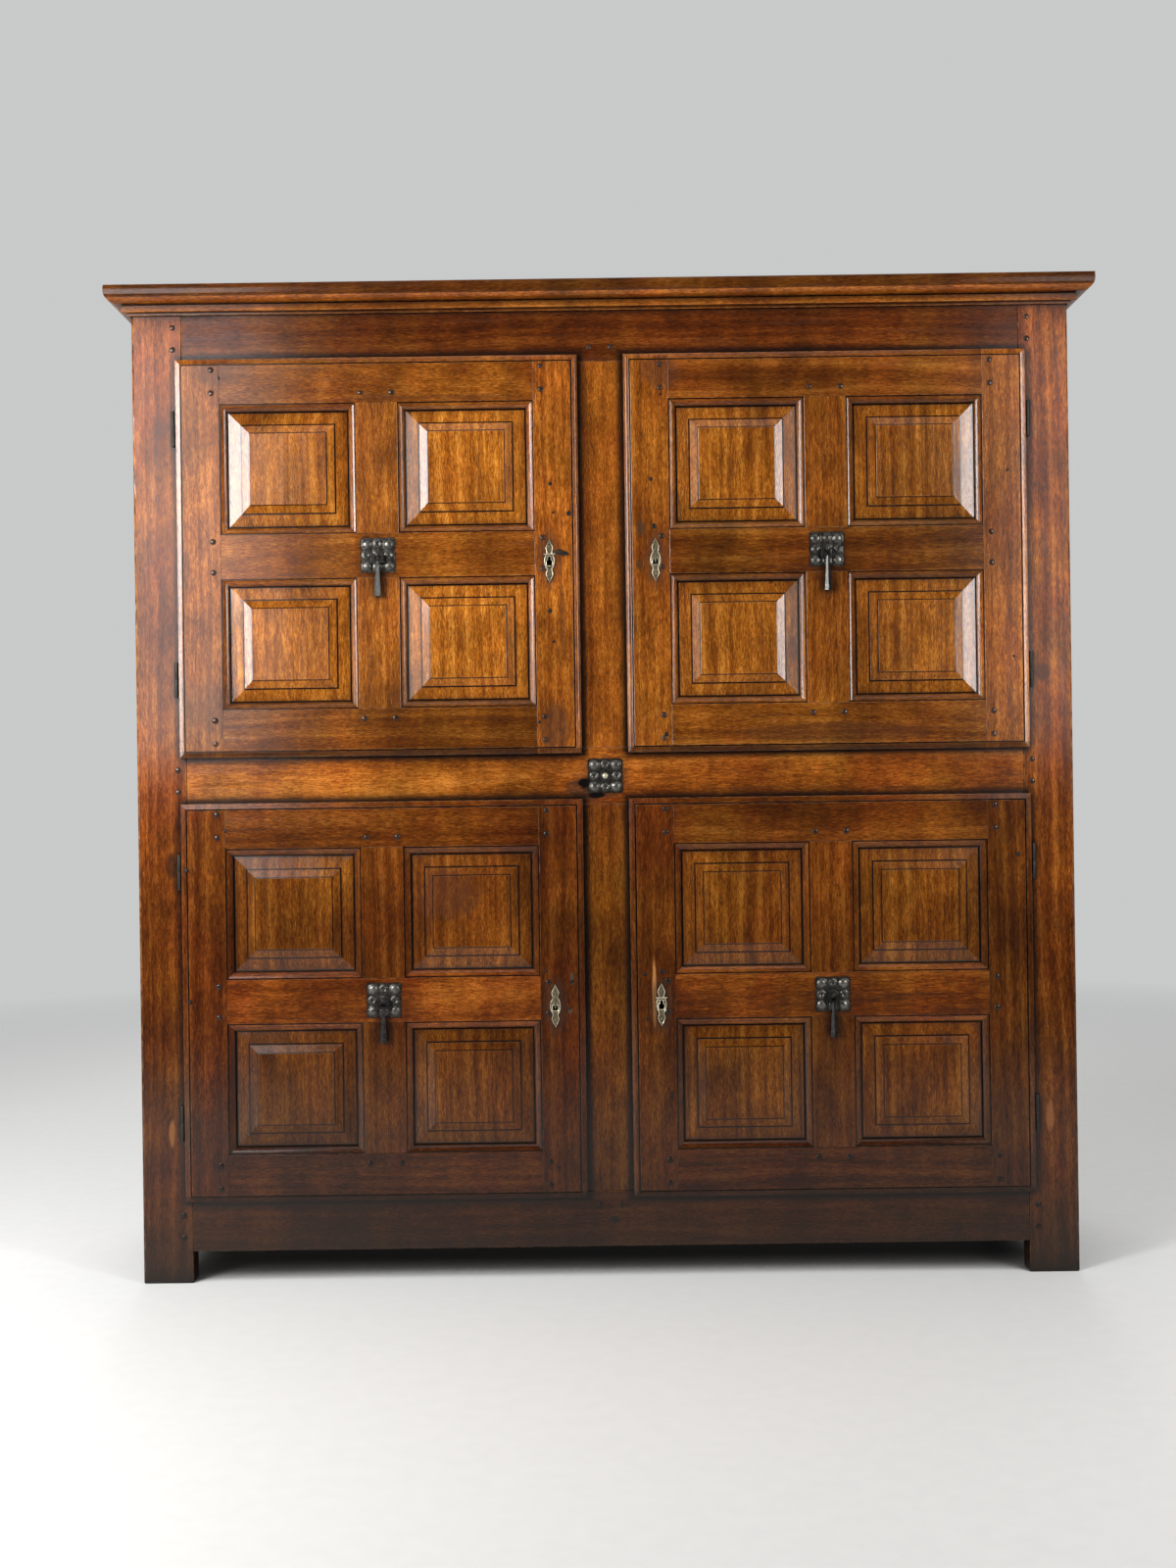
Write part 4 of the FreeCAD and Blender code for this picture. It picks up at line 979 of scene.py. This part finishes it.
pegFinish = woodFinish("pegWood", dict(
    walnut, goldDark=(0.020, 0.009, 0.004), goldMid=(0.042, 0.018, 0.007), goldLight=(0.085, 0.036, 0.014),
    redDark=(0.016, 0.008, 0.004), redMid=(0.036, 0.016, 0.007), redLight=(0.070, 0.030, 0.013),
    smoothLow=0.20, smoothHigh=0.36, grimeAndShadeShare=0.20, cornerShade=0.10,
))
pegLook = {"Radius": 0.0052, "Flatness": 0.30, "Sides": 14, "Spread": 0.10, "Seed": 5, "Finish": pegFinish}
nailLook = {"Radius": 0.0036, "Flatness": 0.25, "Sides": 9, "Spread": 0.30, "Seed": 9, "Finish": hingeIron}
paleNailLook = {"Radius": 0.0026, "Flatness": 0.6, "Sides": 10, "Spread": 0.12, "Seed": 3, "Finish": keyIron}
pegRows = {"stileInset": 0.066, "pairs": ((0.046, 0.021), (0.363, 0.028), (0.681, 0.021)),
           "muntinHalf": 0.028, "muntinHeights": (0.068, 0.658)}
framePegRows = (  # distance from the middle, heights
    (0.776, (0.0825, 0.1225, 0.8915, 0.9315, 1.696, 1.736)),
    (0.020, (0.132, 1.691)),
)


def framePegs():
    places = []
    for side in (-1, 1):
        for reach, heights in framePegRows:
            places.extend((side * reach, faceY, height) for height in heights)
    return places


def doorPegs(low, high):
    places = []
    for x in (low.x + pegRows["stileInset"], high.x - pegRows["stileInset"]):
        for height, apart in pegRows["pairs"]:
            for step in (-apart, apart):
                places.append((x, low.y, low.z + height + step))
    for side in (-1, 1):
        x = (low.x + high.x) / 2 + side * pegRows["muntinHalf"]
        places.extend((x, low.y, low.z + height) for height in pegRows["muntinHeights"])
    return places


framePegPiece = studPiece("frame_pegs.heads", framePegs(), "carcase", pegLook)
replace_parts(framePegPiece, "frame_pegs")
bigNail = dict(pegLook, Radius=0.0057, Flatness=0.62, Sides=22, Spread=0.0, Finish=nailIron)
studPiece("centre_plate.nail", [(0.0, faceY - plate["nailOut"], crossing.z)], "carcase", bigNail)
oldNails = {  # x and z of old nail heads and plugged holes
    "upper_left": ((-0.093, 1.441), (-0.088, 1.389), (-0.060, 1.387), (-0.096, 1.211), (-0.090, 1.155),
                   (-0.690, 1.640), (-0.118, 1.010)),
    "upper_right": ((0.089, 1.447), (0.109, 1.600), (0.094, 1.362), (0.112, 0.985), (0.735, 1.455),
                    (0.742, 1.118)),
    "lower_left": ((-0.066, 0.540), (-0.070, 0.492), (-0.760, 0.750), (-0.757, 0.512), (-0.112, 0.560),
                   (-0.690, 0.820), (-0.094, 0.205)),
    "lower_right": ((0.066, 0.552), (0.070, 0.470), (0.098, 0.556), (0.745, 0.760), (0.112, 0.330)),
}
for door in doorNames:
    low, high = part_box(door + "_stiles")
    studPiece(door + "_pegs", doorPegs(low, high), door + "_door", pegLook)
    nailPlaces = [(x, low.y, z) for x, z in oldNails[door]]
    studPiece(door + "_nails", nailPlaces, door + "_door", nailLook)
    leafNails = [
        keyMiddle(door) + Vector((0.0, 0.0, up)) for up in keyPlate["nailUp"]
        if up < 0.0 or door not in coveredDoors
    ]
    studPiece(door + "_escutcheon.nails", leafNails, door + "_door", paleNailLook)
print("pegs and nails set")


# camera, light and floor

view = {
    "place": (-0.037, -3.39, 0.897), "lens": 39.8, "roll": math.radians(-0.78), "shift": (0.0019, 0.0),
}
cameraData = bpy.data.cameras.new("camera")
cameraData.sensor_width = 36.0
cameraData.lens = view["lens"]
cameraData.shift_x, cameraData.shift_y = view["shift"]
camera = bpy.data.objects.new("camera", cameraData)
bpy.context.collection.objects.link(camera)
turned = Matrix.Rotation(math.pi / 2, 4, "X") @ Matrix.Rotation(view["roll"], 4, "Z")
camera.matrix_world = Matrix.Translation(view["place"]) @ turned
bpy.context.scene.camera = camera

lamps = {  # place, aim, width, height, watts
    "leftLamp": ((-2.65, -2.70, 1.72), (-2.65, 0.0, 1.72), 0.60, 1.45, 103.0),
    "leftUpper": ((-2.10, -2.70, 2.02), (-2.10, 0.0, 2.02), 0.50, 0.85, 51.0),
    "leftFill": ((-2.10, -2.70, 1.30), (-2.10, 0.0, 1.30), 0.50, 0.60, 36.0),
    "rightLamp": ((2.28, -2.70, 1.72), (2.28, 0.0, 1.72), 0.65, 1.45, 75.0),
    "leftGlow": ((-1.45, -2.70, 1.72), (-1.45, 0.0, 1.72), 0.80, 1.45, 21.0),
    "leftSide": ((-4.40, -2.00, 1.60), (0.0, -0.25, 1.30), 0.90, 1.40, 35.0),
    "rightGlow": ((1.60, -2.70, 1.72), (1.60, 0.0, 1.72), 0.60, 1.45, 6.0),
    "overheadLamp": ((0.0, -2.6, 4.2), (0.0, -2.4, 0.0), 3.0, 2.0, 30.0),
    "backLamp": ((0.0, 3.2, 2.8), (0.0, 0.2, 0.9), 3.0, 2.0, 60.0),
}
for name, (place, aim, width, height, watts) in lamps.items():
    lampData = bpy.data.lights.new(name, "AREA")
    lampData.shape = "RECTANGLE"
    lampData.size = width
    lampData.size_y = height
    lampData.energy = watts
    lamp = bpy.data.objects.new(name, lampData)
    bpy.context.collection.objects.link(lamp)
    lamp.visible_glossy = name != "leftFill"  # the lower panels mirror no lamp
    lamp.location = place
    lamp.rotation_euler = (Vector(aim) - Vector(place)).to_track_quat("-Z", "Y").to_euler()

room = {
    "wall": (0.58, 0.59, 0.59, 1.0), "farEnd": (0.07, 0.07, 0.073, 1.0), "ambient": (0.20, 0.20, 0.205, 1.0),
    "mirrorTurn": 0.45, "floor": (0.80, 0.80, 0.78, 1.0), "floorRadius": 5.0, "floorDrop": 0.0005,
    "floorGrain": (30.0, 30.0, 30.0), "floorGrainShare": 0.08, "fadeFrom": 2.2, "fadeTo": 4.8,
    "gapReach": 0.35, "gap": (0.03, 0.027, 0.024, 1.0), "gapShare": 0.92,
}
world = bpy.data.worlds.new("room")
bpy.context.scene.world = world
world.use_nodes = True
worldTree = world.node_tree
worldTree.nodes.clear()
path = addNode(worldTree, "ShaderNodeLightPath").outputs
looking = calc(worldTree, "MAXIMUM", path["Is Camera Ray"], path["Is Transmission Ray"])
heading = addNode(worldTree, "ShaderNodeTexCoord").outputs["Generated"]
towardBack = addNode(worldTree, "ShaderNodeSeparateXYZ", {0: heading}).outputs[1]
lit = remap(worldTree, towardBack, -room["mirrorTurn"], room["mirrorTurn"])  # pale behind, dim in front
mirrored = blendColour(worldTree, lit, room["farEnd"], room["wall"])
backdrop = blendColour(worldTree, path["Is Glossy Ray"], room["ambient"], mirrored)
sky = addNode(worldTree, "ShaderNodeBackground", {
    "Color": blendColour(worldTree, looking, backdrop, room["wall"]), "Strength": 1.0,
})
addNode(worldTree, "ShaderNodeOutputWorld", {0: sky.outputs[0]})

floorMesh = bpy.data.meshes.new("floor")
floorBm = bmesh.new()
bmesh.ops.create_circle(floorBm, cap_ends=True, segments=96, radius=room["floorRadius"])
floorBm.to_mesh(floorMesh)
floorBm.free()
floor = bpy.data.objects.new("floor", floorMesh)
bpy.context.collection.objects.link(floor)
floor.location.z = -room["floorDrop"]
floorFinish, floorTree = newFinish("paleFloor")
floorPlace = addNode(floorTree, "ShaderNodeTexCoord").outputs["Object"]
floorReach = addNode(floorTree, "ShaderNodeVectorMath", {0: floorPlace}, operation="LENGTH").outputs["Value"]
floorNoise = noiseAt(floorTree, floorPlace, room["floorGrain"], 4.0)
speckle = remap(floorTree, floorNoise, 0.3, 0.7, 0.0, room["floorGrainShare"])
floorColour = blendColour(floorTree, speckle, room["floor"], grey(0.5))
openness = addNode(floorTree, "ShaderNodeAmbientOcclusion", {"Distance": room["gapReach"]}).outputs["AO"]
gap = remap(floorTree, openness, 0.42, 0.18, 0.0, room["gapShare"])  # painted shadow: the floor is darker in the gap under the cupboard
floorColour = blendColour(floorTree, gap, floorColour, room["gap"])
floorShader = addNode(floorTree, "ShaderNodeBsdfPrincipled", {"Base Color": floorColour, "Roughness": 0.6})
clear = addNode(floorTree, "ShaderNodeBsdfTransparent")
fade = remap(floorTree, floorReach, room["fadeFrom"], room["fadeTo"])
floorMix = addNode(floorTree, "ShaderNodeMixShader", {
    0: fade, 1: floorShader.outputs[0], 2: clear.outputs[0],
})
addNode(floorTree, "ShaderNodeOutputMaterial", {"Surface": floorMix.outputs[0]})
floorMesh.materials.append(floorFinish)
bpy.context.scene.view_settings.view_transform = "Standard"
print("camera, lamps and floor set")
